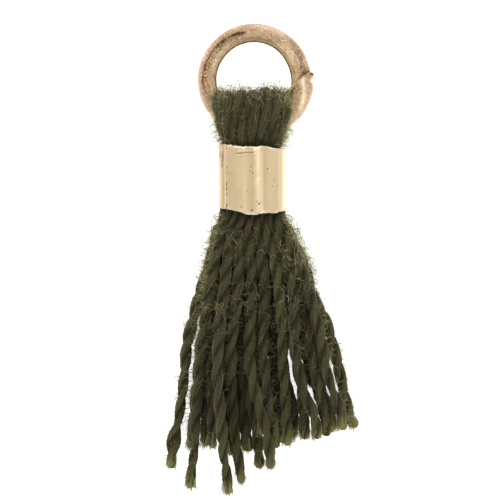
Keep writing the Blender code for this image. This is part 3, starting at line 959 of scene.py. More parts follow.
loops = {
    "cords": (  # x at the widest, radius, depth as a share
        (-3.16, 0.40, 0.80),
        (-2.50, 0.45, 1.00),
        (-1.62, 0.50, 1.00),
        (-0.66, 0.53, 1.00),
        (0.36, 0.47, 1.00),
        (1.16, 0.44, 0.97),
        (1.79, 0.40, 0.80),
    ),
    "inner": 0.66,
    "wireY": 9.9,
    "wireZ": 1.96,
    "stations": (  # y, z, spread and middle x of an outer loop: up the front, over, down the back
        (7.30, 2.15, 0.66, -0.67),
        (8.05, 2.20, 0.69, -0.67),
        (8.50, 2.50, 0.75, -0.64),
        (8.95, 2.86, 0.79, -0.71),
        (9.90, 3.30, 0.895, -0.755),
        (10.80, 3.38, 0.985, -0.72),
        (11.50, 3.08, 0.97, -0.72),
        (11.90, 1.93, 0.93, -0.70),
        (11.50, 0.76, 0.96, -0.70),
        (10.80, 0.48, 0.985, -0.71),
        (9.90, 0.48, 0.92, -0.74),
        (8.95, 0.74, 0.79, -0.71),
        (8.05, 0.90, 0.70, -0.67),
        (7.30, 0.94, 0.66, -0.67),
    ),
    "middleX": -0.71,
    "wander": 0.06,
    "unevenTop": 0.12,
    "risen": (0.62, 0.55, 0.16),  # x, half width and height of a hump in the head's top
    "pitch": 6.0,
    "steps": 96,
    # painted shade of the loops behind the outer ones
    "hiddenShade": 0.6,
    "tones": {0: 0.15, 6: 0.65},  # of the outermost loops, by number
    "tone": 0.05,
    # which way the outer loops look, for painted backlight and light
    "sidesSeen": {0: -0.8, 6: 0.8},
}


def easedHeights(height):
    # Widens the humps, then averages, so that a strand bends gently over those below
    reach = yarn["easeSteps"]
    padded = np.pad(height, reach, mode="edge")
    windows = np.lib.stride_tricks.sliding_window_view(padded, 2 * reach + 1)
    padded = np.pad(windows.max(axis=1), reach, mode="edge")
    return np.lib.stride_tricks.sliding_window_view(padded, 2 * reach + 1).mean(axis=1)


def layStrands():
    # Each strand fans out in plan as placed, and rests on those laid before it
    y = np.arange(yarn["rootY"], yarn["lastY"], -yarn["layStep"])
    taper = np.clip((yarn["rootY"] - y) / (yarn["rootY"] - yarn["hipY"]), 0, 1)
    radius = yarn["rootRadius"] + (yarn["layRadius"] - yarn["rootRadius"]) * taper
    laid = []
    for row, place, kneeX, tipX, tipY in yarn["strands"]:
        rootX, rootSpace, hipX, hipSpace = yarn["rows"][row]
        stops = (tipY, yarn["kneeY"], yarn["hipY"], yarn["rootY"])
        across = (tipX, kneeX, hipX + place * hipSpace, rootX + place * rootSpace)
        course = np.array(sorted([*zip(stops, across), *yarn["sways"].get((row, place), ())]))
        x = curveThrough(course[:, 0], course[:, 1], np.maximum(y, tipY))
        lowest = np.interp(y, stops, yarn["rowHeights"][row][::-1])
        clear = (2 * radius + yarn["layGap"]) * np.hypot(1, np.gradient(x, y))
        for otherX, otherZ, otherEnd in laid:
            aside = np.abs(x - otherX)
            over = otherZ + np.sqrt(np.maximum(clear**2 - aside**2, 0))
            touching = (aside < clear) & (y > otherEnd - yarn["layStep"])
            lowest = np.where(touching, np.maximum(lowest, over), lowest)
        laid.append((x, easedHeights(lowest), tipY))
    return y, laid


def alongLength(points, steps):
    # The same line with evenly spaced points, and its length
    gaps = np.linalg.norm(np.diff(points, axis=0), axis=1)
    length = np.concatenate([[0], np.cumsum(gaps)])
    at = np.linspace(0, length[-1], steps)
    return np.stack([curveThrough(length, points[:, i], at) for i in range(3)], axis=1), length[-1]


def skirtLines():
    # The strands' middle lines, from inside the band to the cut ends
    y, laid = layStrands()
    neckY = np.arange(yarn["neckTop"], yarn["rootY"], -yarn["layStep"])
    gather = smoothStep(neckY, yarn["rootY"] - 0.6, 3.5)
    aside, upward = yarn["gather"]
    lines = []
    for x, z, tipY in laid:
        neckX = x[0] + (yarn["neckX"] - x[0]) * gather * aside
        neckZ = z[0] + (yarn["neckZ"] - z[0]) * gather * upward
        kept = y > tipY
        free = np.stack([x[kept], y[kept], z[kept]], axis=1)
        end = np.array([[np.interp(-tipY, -y, x), tipY, np.interp(-tipY, -y, z)]])
        neck = np.stack([neckX, neckY, neckZ], axis=1)
        lines.append(np.concatenate([neck, free, end]))
    return lines


def loopLines():
    # The head's outer loops as placed, then smaller ones in the gaps behind them
    stations = np.array(loops["stations"])
    at = np.arange(len(stations), dtype=float)
    fine = np.linspace(0, at[-1], 131)
    y, z, spread, middle = (curveThrough(at, stations[:, i], fine) for i in range(4))
    outer = np.array(loops["cords"])
    behind = (outer[1:] + outer[:-1]) / 2
    humpX, humpWidth, humpHeight = loops["risen"]
    lines = []
    radii = []
    for layer, cords in enumerate((outer, behind)):
        size = loops["inner"] if layer else 1.0
        for number, (widest, radius, deep) in enumerate(cords):
            own = number * 3.7 + layer * 50
            x = middle + (widest - loops["middleX"]) * spread
            x = x + loops["wander"] * drift(fine * 0.5, own, 21)
            rise = np.maximum(y - loops["wireY"], 0) * (size - 1)
            rise = rise + loops["unevenTop"] * drift(own, 0, 22) * smoothStep(y, 9.2, 10.4)
            rise = rise + humpHeight * bell(x, humpX, humpWidth) * smoothStep(y, 10.4, 11.6)
            off = (z - loops["wireZ"]) * (0.4 + 0.6 * size) * deep
            lines.append(np.stack([x, y + rise, loops["wireZ"] + off], axis=1))
            radii.append(radius)
    return lines, radii


def windCords(lines, radii, pitch, firstTurn, steps):
    # Lines with even points, the two directions square to each, the plies' turn and the radius.
    # A radius is worked out from the length left to the cord's end and from its line.
    cords = {"line": [], "turn": [], "size": [], "length": []}
    share = np.linspace(0, 1, steps)
    turning = 2 * np.pi / (pitch[0] + (pitch[1] - pitch[0]) * share)
    for number, (points, radius) in enumerate(zip(lines, radii)):
        line, length = alongLength(points, steps)
        turn = np.concatenate([[0], np.cumsum(turning[1:])]) * length / (steps - 1)
        strength, often = yarn["uneven"]
        uneven = 1 + strength * drift(share * length * often, number * 7, 23)
        cords["line"].append(line)
        cords["turn"].append(turn + (firstTurn + number) * yarn["turnStep"])
        cords["size"].append(radius(length - share * length, line) * uneven)
        cords["length"].append(length)
    cords = {name: np.array(values) for name, values in cords.items()}
    along = unit(np.gradient(cords["line"], axis=1))
    side = np.array([1.0, 0.0, 0.0]) - along[..., :1] * along
    cords["along"] = along
    cords["side"] = unit(side)
    cords["up"] = np.cross(along, cords["side"])
    cords["soft"] = yarn["softening"] * smoothStep(cords["line"][..., 1], -7, 1)
    return cords


def strandRadius(number):
    # Grows out of the neck, narrows where the plies last cross, swells, and tapers to a ragged end
    strand = yarn["strands"][number][:2]
    own = drift(number * 1.7, np.array([2, 7, 11]), 24)
    waistAt, waistLength = yarn["waist"]
    part = yarn["swells"].get(strand, 0.06 + 0.08 * own[2])
    wide = yarn["widths"].get(strand, 1.0)

    def radius(left, line):
        waist = (0.16 + 0.10 * own[0]) * bell(left - 0.3 * own[1], waistAt, waistLength)
        swell = part * bell(left, *yarn["swell"])
        cut = np.interp(left, *np.array(yarn["cutEnd"]).T)
        full = np.interp(-line[:, 1], *np.array(yarn["radii"]).T) * wide
        return full * (1 - waist + swell) * cut

    return radius


def loopRadius(widest):
    # Full over the ring, and thinner where the band pinches the loop
    def radius(left, line):
        return widest * (0.70 + 0.30 * smoothStep(line[:, 1], 8.0, 9.8))

    return radius


def onCord(cords, cord, ply, share, around, lift):
    # A place on a ply: along its cord by share, round its flattened section by an angle that is
    # 0 on the outside, and lifted off it. Also gives the outward direction there.
    steps = cords["line"].shape[1]
    place = share * (steps - 1)
    low = np.clip(place.astype(int), 0, steps - 2)
    part = place - low

    def at(name):
        values = cords[name]
        weight = part if values.ndim == 2 else part[..., None]
        return values[cord, low] * (1 - weight) + values[cord, low + 1] * weight

    turn = (at("turn") + np.pi * ply)[..., None]
    size = at("size")
    outward = np.cos(turn) * at("side") + np.sin(turn) * at("up")
    across = np.cos(turn) * at("up") - np.sin(turn) * at("side")
    soft = at("soft")
    thick = size * (yarn["plyThick"] + soft) * np.where(np.cos(around) > 0, 1.0, 0.95) + lift
    wide = size * (yarn["plyWide"] + soft) + lift
    out = size * (yarn["plyOffset"] - soft) + thick * np.cos(around)
    normal = unit(np.cos(around)[..., None] * outward + np.sin(around)[..., None] * across)
    return at("line") + out[..., None] * outward + (wide * np.sin(around))[..., None] * across, normal


def plySurface(cords, chosen):
    # Grid of share along and angle round for both plies of each chosen cord. Low ridges keep
    # their place round the cord as the ply turns, as its fibres do, and lumps come and go.
    steps = cords["line"].shape[1]
    share = np.linspace(0, 1, steps)[None, None, :, None]
    around = np.linspace(-np.pi, np.pi, yarn["sides"], endpoint=False)[None, None, None, :]
    cord = np.asarray(chosen)[:, None, None, None]
    ply = np.arange(2)[None, :, None, None]
    cord, ply, share, around = np.broadcast_arrays(cord, ply, share, around)
    step = np.rint(share * (steps - 1)).astype(int)
    angle = around + cords["turn"][cord, step] + np.pi * ply
    at = share * cords["length"][cord]
    own = cord * 5.3 + ply * 2.9
    (high, number), (low, fewer) = yarn["ridges"]
    ridges = high * np.cos(number * angle + own) + low * np.cos(fewer * angle + 2 * own + 0.8 * at)
    (high, number), (low, more) = yarn["lumps"]
    lumps = high * drift(at * number, own + around, 25)
    lumps = lumps + low * drift(at * more, own * 2 + 2 * around, 26)
    points, normal = onCord(cords, cord, ply, share, around, ridges + lumps)
    points[..., 2] = np.maximum(points[..., 2], yarn["floor"])
    groove = smoothStep(np.abs((around + np.pi) % (2 * np.pi) - np.pi), 0.95, 1.55)
    return points, np.stack([angle / (2 * np.pi), at, own], axis=-1), at, groove, normal


def oliveYarn():
    # Dark olive wool: long streaks that follow the fibres, soft mottling, paler by its cut ends, with
    # painted shade and painted light from its marks
    material, shader, place, hue = startMaterial("oliveYarn", yarn["colours"])
    fibre = marked(place, "fibre", "Vector")
    streaks = grain(stretched(fibre, (20.0, 0.8, 1.0)), 1.0, 3.0, 0.6)
    hairs = grain(stretched(fibre, (46.0, 2.2, 3.0)), 1.0, 2.0, 0.6)
    cloudy = grain(place, 500.0, 2.0, 0.5)
    felted = grain(place, 8000.0, 2.0, 0.65)
    dark = between(cloudy, hue["darkBrown"], hue["darkGreen"])
    light = between(cloudy, hue["lightBrown"], hue["lightGreen"])
    woolly = streaks * 0.42 + hairs * 0.28 + felted * 0.30
    colour = between(ranged(woolly, 0.39, 0.61), dark, light)
    # tone carries painted backlight, pale painted light at the head's corners, and deep the painted shade
    for mark in ("tone", "pale", "deep"):
        colour = between(marked(place, mark), colour, hue[mark])
    normal = bumped(woolly, 0.00012, 0.8)
    constant = {
        "Roughness": 0.95,
        "Specular IOR Level": 0.15,
        "Sheen Weight": 0.25,
        "Sheen Roughness": 0.5,
        "Sheen Tint": hue["sheen"],
    }
    feed(shader, {"Base Color": colour, "Normal": normal}, constant)
    return material


def cordMarks(cords, surface, *perCord):
    # Painted backlight as a greener rim along the sides, greener by the tips, paler at the cut ends,
    # painted light at the head's lower corners, and painted shade in the grooves, below other
    # strands and by the band
    points, fibre, at, groove, normal = surface
    cord, tone, deep, side = (np.asarray(values)[:, None, None, None] for values in perCord)
    y = points[..., 1]
    left = cords["length"][cord] - at
    looking = normal[..., 0] * side
    wander = 0.16 * drift(at * 0.45, cord * 3.1, 30)
    # Painted backlight: a greener rim where the surface looks out to the side
    rim = 0.18 * smoothStep(looking, 0.5, 1.0)
    byTips = 0.20 * smoothStep(-y, 10.0, 13.5)
    tone = np.clip(tone + wander + rim + byTips, 0, 1)
    # Painted shade: darker below other strands, in the grooves and by the band, and in random patches
    deep = deep * (0.6 + 0.4 * smoothStep(y, -8, -2))
    bandShadow = smoothStep(y, 2.7, 3.5) * (1 - smoothStep(y, 8.2, 8.9))
    parted = 0.55 + 0.12 * smoothStep(y, -7, 1) - 0.42 * smoothStep(y, 8, 9)
    shaded = np.clip(0.30 * drift(at * 0.8, cord * 5.9, 42), 0, 0.25)
    deep = 1 - (1 - deep) * (1 - parted * groove) * (1 - 0.75 * bandShadow) * (1 - shaded)
    # Painted light: paler at the head's lower corners where the surface looks out to the side
    corner = smoothStep(looking, -0.1, 0.6) * bell(y, 9.0, 0.7)
    pale = np.clip(0.65 * bell(np.maximum(left, 0), 0, 0.8) + 0.45 * corner, 0, 1)
    return {"fibre": fibre, "tone": tone, "pale": pale * (1 - deep), "deep": deep}


def dressYarn(made):
    # Every piece of yarn stands for the same node
    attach(made, "root")
    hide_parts("yarn")


def makeCords(name, cords, chosen, looks, material):
    # One mesh of the chosen cords. Looks are how green every cord is, how much painted shade it
    # takes for its depth in the hank, and which side it shows to the painted backlight.
    surface = plySurface(cords, chosen)
    values = cordMarks(cords, surface, chosen, *(np.asarray(look)[chosen] for look in looks))
    faces = tubeFaces(2 * len(chosen), cords["line"].shape[1], yarn["sides"])
    dressYarn(addMesh(name, surface[0], faces, material, values))


strandNames = [strand[:2] for strand in yarn["strands"]]
strandCount = len(strandNames)
strandRadii = [strandRadius(number) for number in range(strandCount)]
skirt = windCords(skirtLines(), strandRadii, yarn["pitch"], 0, yarn["steps"])
headLines, headWidths = loopLines()
headRadii = [loopRadius(widest) for widest in headWidths]
head = windCords(headLines, headRadii, (loops["pitch"], loops["pitch"]), strandCount, loops["steps"])
yarnMaterial = oliveYarn()
strandTones = np.clip(0.04 + 0.18 * drift(np.arange(strandCount) * 1.37, 0, 27), 0, 1)
strandTones = strandTones + [yarn["greenAndBacklit"].get(name, 0.0) for name in strandNames]
# painted shade of each strand by its row
strandShades = np.array([yarn["rowShades"].get(name, yarn["rowShades"][name[0]]) for name in strandNames])
strandSides = [yarn["sidesSeen"].get(name, 0) for name in strandNames]
lower = [i for i, name in enumerate(strandNames) if name[0] != "upper"]
upper = [i for i, name in enumerate(strandNames) if name[0] == "upper"]
for name, chosen in (("lowerStrands", lower), ("upperStrands", upper)):
    makeCords(name, skirt, chosen, (strandTones, strandShades, strandSides), yarnMaterial)
loopNumbers = range(len(headLines))
loopTones = [loops["tones"].get(number, loops["tone"]) for number in loopNumbers]
loopShades = [loops["hiddenShade"] * (number >= len(loops["cords"])) for number in loopNumbers]
loopSides = [loops["sidesSeen"].get(number, 0) for number in loopNumbers]
makeCords("headLoops", head, loopNumbers, (loopTones, loopShades, loopSides), yarnMaterial)
print("strands and loops are wound")


# The heart of the head: yarn packed round the wire and down through the band

core = {
    "sections": (  # y, left, right, back z, front z
        (11.55, -2.3, 0.9, 1.30, 2.60),
        (11.20, -2.8, 1.5, 0.90, 3.20),
        (10.40, -3.1, 1.75, 0.55, 3.48),
        (9.40, -2.9, 1.65, 0.65, 3.38),
        (8.60, -2.6, 1.30, 0.70, 2.92),
        (7.60, -2.55, 1.20, 0.62, 2.60),
        (4.20, -2.55, 1.20, 0.62, 2.60),
        (3.20, -2.55, 1.20, 0.62, 2.45),
        (2.20, -2.80, 1.50, 0.55, 2.30),
        (1.20, -2.90, 1.60, 0.60, 1.90),
    ),
    "rows": 90,
    "sides": 72,
    "roundness": 0.7,
    "grooves": 15,
    "grooveDepth": 0.05,
    "closing": ((1.2, 0.6), (1.3, 1.0), (11.4, 1.0), (11.55, 0.6)),  # y, share of the full size
    # painted shade of the packed yarn
    "deep": 0.4,
}


def makeCore():
    # A rounded box section carried down the hank, with grooves between its buried strands and painted
    # shade
    sections = np.array(core["sections"])[::-1]
    y = np.linspace(sections[0, 0], sections[-1, 0], core["rows"])
    left, right, back, front = (np.interp(y, sections[:, 0], sections[:, i])[:, None] for i in range(1, 5))
    around = np.linspace(0, 2 * np.pi, core["sides"], endpoint=False)[None, :]
    closing = np.interp(y, *np.array(core["closing"]).T)[:, None]
    y = y[:, None]
    groove = core["grooveDepth"] * (0.5 + 0.5 * np.cos(core["grooves"] * around))
    size = (1 - groove + 0.03 * drift(around * 3, y, 28)) * closing

    def boxed(wave, low, high):
        # Between low and high as a cosine or sine runs, but squarer
        rounded = np.sign(wave) * np.abs(wave) ** core["roundness"]
        return (low + high) / 2 + (high - low) / 2 * rounded * size

    x = boxed(np.cos(around), left, right)
    z = boxed(np.sin(around), back, front)
    around, y = np.broadcast_arrays(around, y)
    plain = np.zeros_like(x)
    fibre = np.stack([around / 2, y, plain], axis=-1)
    # The packed yarn takes an even painted shade
    values = {"fibre": fibre, "tone": plain, "pale": plain, "deep": plain + core["deep"]}
    turned = [faces[:, ::-1] for faces in tubeFaces(1, core["rows"], core["sides"])]
    dressYarn(addMesh("packedYarn", np.stack([x, y, z], axis=-1), turned, yarnMaterial, values))


makeCore()
print("the packed yarn is in")


# Loose fibres: thin three-sided threads that lie along the plies, curl off them and fray the ends

fuzz = {
    "laid": {
        "onSkirt": 1100,
        "onHead": 480,
        "steps": 9,
        "radius": (0.008, 0.022),
        "length": (0.9, 2.6),
        "around": (0.2, 1.5),
    },
    "curl": {"count": 4700, "steps": 7, "radius": (0.007, 0.017), "top": 4.4},
    "edge": {"steps": 6, "radius": (0.005, 0.010), "top": 4.2},
    "fray": {"perStrand": 90, "steps": 5, "radius": (0.010, 0.023), "top": 4.2},
    "crown": {"count": 3200, "steps": 8, "radius": (0.006, 0.013), "top": 4.6},
    "clumps": (  # x, y, half width, half height and density of the places with more curls
        (2.10, 0.75, 0.70, 1.90, 2.6),
        (-1.75, 0.35, 0.55, 0.70, 1.6),
        (-2.60, -3.20, 0.90, 0.80, 1.6),
        (-4.60, -4.00, 0.50, 1.80, 2.0),
        (-0.70, -2.80, 0.70, 0.70, 1.6),
        (2.75, -3.10, 0.80, 0.90, 1.6),
        (-2.90, 2.60, 0.40, 0.70, 2.0),
    ),
    "skirtSides": ((7, 17, 0), (15, 23, 6)),  # numbers of the outer cords, left and right
    "headSides": ((0, 1), (5, 6)),
    "skirtEdges": ((0.08, 0.99, 1800), (0.045, 0.34, 1000)),  # shares along the cords, and count
    "headEdges": ((0.08, 0.92, 750), (0.07, 0.27, 500)),
    "seed": 41,
    "lowest": 0.04,  # height under which no path goes, and each kind has its own top
    "colours": {
        "dark": (78, 73, 54),
        "light": (112, 107, 80),
        "tone": (137, 134, 76),
        "pale": (210, 205, 150),
    },
}


def threads(paths, radius):
    # Triangular tubes round each path, thinning towards both ends
    along = unit(np.gradient(paths, axis=1))
    lean = np.where(np.abs(along[..., 2:]) > 0.9, [[[1.0, 0.0, 0.0]]], [[[0.0, 0.0, 1.0]]])
    side = unit(np.cross(along, lean))
    up = np.cross(side, along)
    share = np.linspace(0, 1, paths.shape[1])
    thin = np.minimum(1, 0.45 + 2.2 * np.minimum(share, 1 - share))
    size = (radius[:, None] * thin[None, :])[..., None, None]
    angle = (np.array([0, 2, 4]) * np.pi / 3)[:, None]
    outward = np.cos(angle) * up[..., None, :] + np.sin(angle) * side[..., None, :]
    return paths[..., None, :] + size * outward


def addThreads(name, paths, radius, tone, pale, material):
    # One mesh of all the threads, each paler towards its free end
    points = threads(paths, radius)
    points[..., 2] = np.maximum(points[..., 2], yarn["floor"])
    count, steps, corners = points.shape[:3]
    own = np.arange(count)[:, None, None] * 0.37
    at = np.arange(steps)[:, None] * 0.1
    tone = tone[:, None, None]
    pale = pale[:, None, None] * np.linspace(0.35, 1.15, steps)[:, None]
    own, at, tone, pale = (np.broadcast_to(part, points.shape[:3]) for part in (own, at, tone, pale))
    values = {"fibre": np.stack([own, at, own], axis=-1), "tone": tone, "pale": pale}
    dressYarn(addMesh(name, points, tubeFaces(count, steps, corners), material, values))


def laidPaths(cords, cord, random):
    # Fibres that keep their place round the cord while the ply turns under them
    kind = fuzz["laid"]
    count = len(cord)
    ply = random.integers(0, 2, count)
    length = random.uniform(*kind["length"], count)
    start = random.uniform(0, 1, count) * (cords["length"][cord] - length - 0.1)
    first = random.uniform(*kind["around"], count)
    along = np.linspace(0, 1, kind["steps"])[None, :]
    at = (start[:, None] + length[:, None] * along) / cords["length"][cord][:, None]
    last = cords["line"].shape[1] - 1
    turn = cords["turn"][cord[:, None], np.clip((at * last).astype(int), 0, last)]
    around = first[:, None] - 0.85 * (turn - turn[:, :1])
    number = np.arange(count)[:, None]
    around = around + 0.25 * drift(along * 2.5, number * 1.3, 31)
    lift = 0.006 + 0.03 * (0.5 + 0.5 * drift(along * 3, number * 2.1, 32))
    cord, ply, at = np.broadcast_arrays(cord[:, None], ply[:, None], at)
    return onCord(cords, cord, ply, at, around, lift)[0]


def curlPaths(kind, start, heading, normal, length, bend, climb):
    # An arc of the given bend that starts along its heading, curls towards the normal's side
    # and climbs out of its own plane like a spring. It stays between the lowest and top height.
    heading = unit(heading)
    aside = unit(normal - np.sum(normal * heading, axis=-1, keepdims=True) * heading)
    start, heading, aside = (vectors[:, None] for vectors in (start, heading, aside))
    length, bend, climb = (values[:, None, None] for values in (length, bend, climb))
    at = np.linspace(0, 1, fuzz[kind]["steps"])[None, :, None] * length
    forward = np.sin(bend * at) / bend
    curled = (1 - np.cos(bend * at)) / bend
    wiggle = 0.05 * drift(at * 2.3, np.arange(len(start))[:, None, None] * 1.7, 33)
    sideways = (climb + wiggle) * at
    paths = start + forward * heading + curled * aside + sideways * np.cross(heading, aside)
    paths[..., 2] = np.clip(paths[..., 2], fuzz["lowest"], fuzz[kind]["top"])
    return paths


def alongAt(cords, cord, share):
    # Direction of each cord at its share
    return cords["along"][cord, np.rint(share * (cords["line"].shape[1] - 1)).astype(int)]


def fibreMaterial():
    # The same wool seen as single fibres: lighter, each with its own tone and paleness
    material, shader, place, hue = startMaterial("looseFibre", fuzz["colours"])
    mixed = grain(stretched(marked(place, "fibre", "Vector"), (1.0, 0.6, 1.0)), 1.0, 1.0, 0.5)
    colour = between(ranged(mixed, 0.3, 0.7), hue["dark"], hue["light"])
    for mark in ("tone", "pale"):
        colour = between(marked(place, mark), colour, hue[mark])
    feed(shader, {"Base Color": colour}, {"Roughness": 0.8, "Specular IOR Level": 0.25})
    return material


def makeLaidFibres(material):
    # Long fibres along the plies, most of them on the strands that lie uppermost
    random = np.random.default_rng(fuzz["seed"])
    weights = skirt["length"] * [1.6 if i in upper else 0.8 for i in range(strandCount)]
    kind = fuzz["laid"]
    cord = random.choice(strandCount, kind["onSkirt"], p=weights / weights.sum())
    onSkirt = laidPaths(skirt, cord, random)
    onHead = laidPaths(head, random.integers(0, len(loops["cords"]), kind["onHead"]), random)
    paths = np.concatenate([onSkirt, onHead])
    count = len(paths)
    radius = random.uniform(*kind["radius"], count)
    tone = random.uniform(0, 0.25, count)
    addThreads("laidFibres", paths, radius, tone, random.uniform(0, 0.12, count), material)


def curlsOn(cords, cord, random):
    # Fibres that leave a ply at a slant, along the cord one way or the other, and curl
    count = len(cord)
    share = random.uniform(0.10, 0.98, count)
    around = random.uniform(-1.6, 1.6, count)
    ply = random.integers(0, 2, count)
    start, normal = onCord(cords, cord, ply, share, around, np.full(count, -0.02))
    along = alongAt(cords, cord, share) * random.choice([-1, 1], count)[:, None]
    heading = along + 0.45 * normal + 0.55 * random.normal(0, 1, (count, 3))
    length = random.uniform(0.3, 1.2, count)
    bend = random.uniform(0.5, 5.0, count) * random.choice([-1, 1, 1], count)
    climb = random.uniform(-0.3, 0.3, count)
    return curlPaths("curl", start, heading, normal, length, bend, climb)


def makeCurls(material):
    # Of twice as many curls as are wanted, those in and round the clumps are kept
    random = np.random.default_rng(fuzz["seed"] + 1)
    count = fuzz["curl"]["count"]
    weights = skirt["length"] * (1.1 - 0.9 * strandShades)
    cord = random.choice(strandCount, count * 2, p=weights / weights.sum())
    paths = curlsOn(skirt, cord, random)
    x, y = paths[:, 0, :2].T
    clump = spots(x, y, fuzz["clumps"])
    patchy = drift(x * 0.9, y * 0.7, 34) + 0.7 * random.uniform(-1, 1, count * 2)
    kept = np.sort(np.argsort(-clump - patchy)[:count])
    paths = paths[kept]
    radius = random.uniform(*fuzz["curl"]["radius"], count)
    high = 1 - 0.65 * smoothStep(-y[kept], 3, 7)
    tone = random.uniform(0, 0.4, count) * high
    pale = (random.uniform(0, 1, count) ** 2.5 + 0.15 * clump[kept]) * high
    addThreads("curlingFibres", paths, radius, tone, pale, material)


def sidewaysStarts(cords, sides, first, last, count, random):
    # Places on the outer cords of both sides whose surface looks away from the middle. Most
    # places that are drawn don't, so many more are drawn than are wanted.
    drawn = count * 24
    left = random.uniform(0, 1, drawn) < 0.5
    cord = np.where(left, *(random.choice(side, drawn) for side in sides))
    ply = random.integers(0, 2, drawn)
    share = random.uniform(first, last, drawn)
    around = random.uniform(-2.2, 2.2, drawn)
    start, normal = onCord(cords, cord, ply, share, around, np.full(drawn, -0.015))
    facing = normal[:, 0] * np.where(left, -1, 1)
    kept = np.flatnonzero((facing > 0.82) & (normal[:, 2] < 0.0))[:count]
    return start[kept], normal[kept], alongAt(cords, cord, share)[kept]


def makeEdgeFuzz(material):
    # The skirt's and the head's sides carry a halo: many short pale fibres, and longer curls, whose
    # paleness is painted backlight
    random = np.random.default_rng(fuzz["seed"] + 4)
    places = [
        sidewaysStarts(cords, fuzz[part + "Sides"], *edge, random)
        for part, cords in (("skirt", skirt), ("head", head))
        for edge in fuzz[part + "Edges"]
    ]
    start, normal, along = (np.concatenate(group) for group in zip(*places))
    count = len(start)
    long = random.uniform(0, 1, count) < 0.30
    lean = along * random.choice([-1, 1], count)[:, None]
    heading = 0.8 * normal + 0.7 * lean + 0.5 * random.normal(0, 1, (count, 3))
    high = smoothStep(start[:, 1], -4, 1)
    length = np.where(long, random.uniform(0.5, 1.4, count), random.uniform(0.15, 0.6, count))
    length = length * np.where(start[:, 0] > 0, 1.15, 1.0)
    length = length * (0.65 + 0.35 * high)
    bend = np.where(long, random.uniform(1.2, 4.0, count), random.uniform(1.0, 6.0, count))
    bend = bend * random.choice([-1, 1, 1, 1], count)
    climb = random.uniform(-0.4, 0.4, count)
    paths = curlPaths("edge", start, heading, normal, length, bend, climb)
    radius = random.uniform(*fuzz["edge"]["radius"], count) + 0.005 * long
    tone = random.uniform(0.1, 0.8, count)
    # Paleness as painted backlight through the thin fibres, stronger higher up
    pale = np.where(long, random.uniform(0.5, 1.0, count), random.uniform(0.7, 1.1, count))
    addThreads("edgeFuzz", paths, radius, tone, pale * (0.7 + 0.3 * high), material)


def makeFrayedEnds(material):
    # The fibres of each cut end, which start inside it and stop at different lengths
    random = np.random.default_rng(fuzz["seed"] + 2)
    per = fuzz["fray"]["perStrand"]
    count = strandCount * per
    cord = np.repeat(np.arange(strandCount), per)
    ply = random.integers(0, 2, count)
    left = random.uniform(0.5, 1.5, count)
    share = 1 - left / skirt["length"][cord]
    around = random.uniform(-np.pi, np.pi, count)
    start, normal = onCord(skirt, cord, ply, share, around, -0.03 - random.uniform(0, 0.10, count))
    along = skirt["along"][cord, -1]
    loose = np.repeat(random.uniform(0.04, 0.12, strandCount), per)[:, None]
    heading = along + 0.5 * loose * normal + loose * random.normal(0, 1, (count, 3))
    length = left + 0.17 * random.normal(0, 1, count) - 0.04
    bend = random.uniform(0.02, 0.45, count) * random.choice([-1, 1], count)
    climb = random.uniform(-0.1, 0.1, count)
    paths = curlPaths("fray", start, heading, normal, length, bend, climb)
    radius = random.uniform(*fuzz["fray"]["radius"], count)
    tone = random.uniform(0.4, 1.0, count)
    addThreads("frayedEnds", paths, radius, tone, random.uniform(0.1, 0.6, count), material)


def makeCrown(material):
    # Curly fuzz over the head: most of it along the top, some down its sides
    random = np.random.default_rng(fuzz["seed"] + 3)
    count = fuzz["crown"]["count"]
    cord = random.integers(0, len(headLines), count)
    onTop = random.uniform(0, 1, count) < 0.72
    share = np.where(onTop, random.normal(0.47, 0.07, count), random.uniform(0.15, 0.85, count))
    share = np.clip(share, 0.1, 0.9)
    ply = random.integers(0, 2, count)
    around = random.uniform(-1.8, 1.8, count)
    start, normal = onCord(head, cord, ply, share, around, np.full(count, -0.02))
    heading = random.normal(0, 1, (count, 3)) + 0.5 * normal
    flying = onTop & (random.uniform(0, 1, count) < 0.20)
    heading[flying] = 0.5 * heading[flying] + [0, 1.5, 0]
    bold = onTop & (random.uniform(0, 1, count) < 0.11)
    length = 0.3 + 1.2 * random.uniform(0, 1, count) ** 1.8 + 0.9 * flying + 0.4 * bold
    bend = random.uniform(2.0, 7.0, count) * random.choice([-1, 1, 1], count)
    bend = bend / (1 + 1.2 * flying + 0.8 * bold)
    climb = random.uniform(-0.4, 0.4, count)
    paths = curlPaths("crown", start, heading, normal, length, bend, climb)
    radius = random.uniform(*fuzz["crown"]["radius"], count) + 0.005 * bold
    tone = random.uniform(0.0, 0.45, count)
    pale = np.maximum(random.uniform(0.2, 1.0, count), 0.8 * bold)
    pale = np.where(onTop, pale * (0.25 + 0.75 * smoothStep(start[:, 1], 10.9, 11.6)), 0.6 * pale**3)
    addThreads("crownFuzz", paths, radius, tone, pale, material)


# Single long fibres that lie on the yarn: x and y of the points of each, its radius and paleness

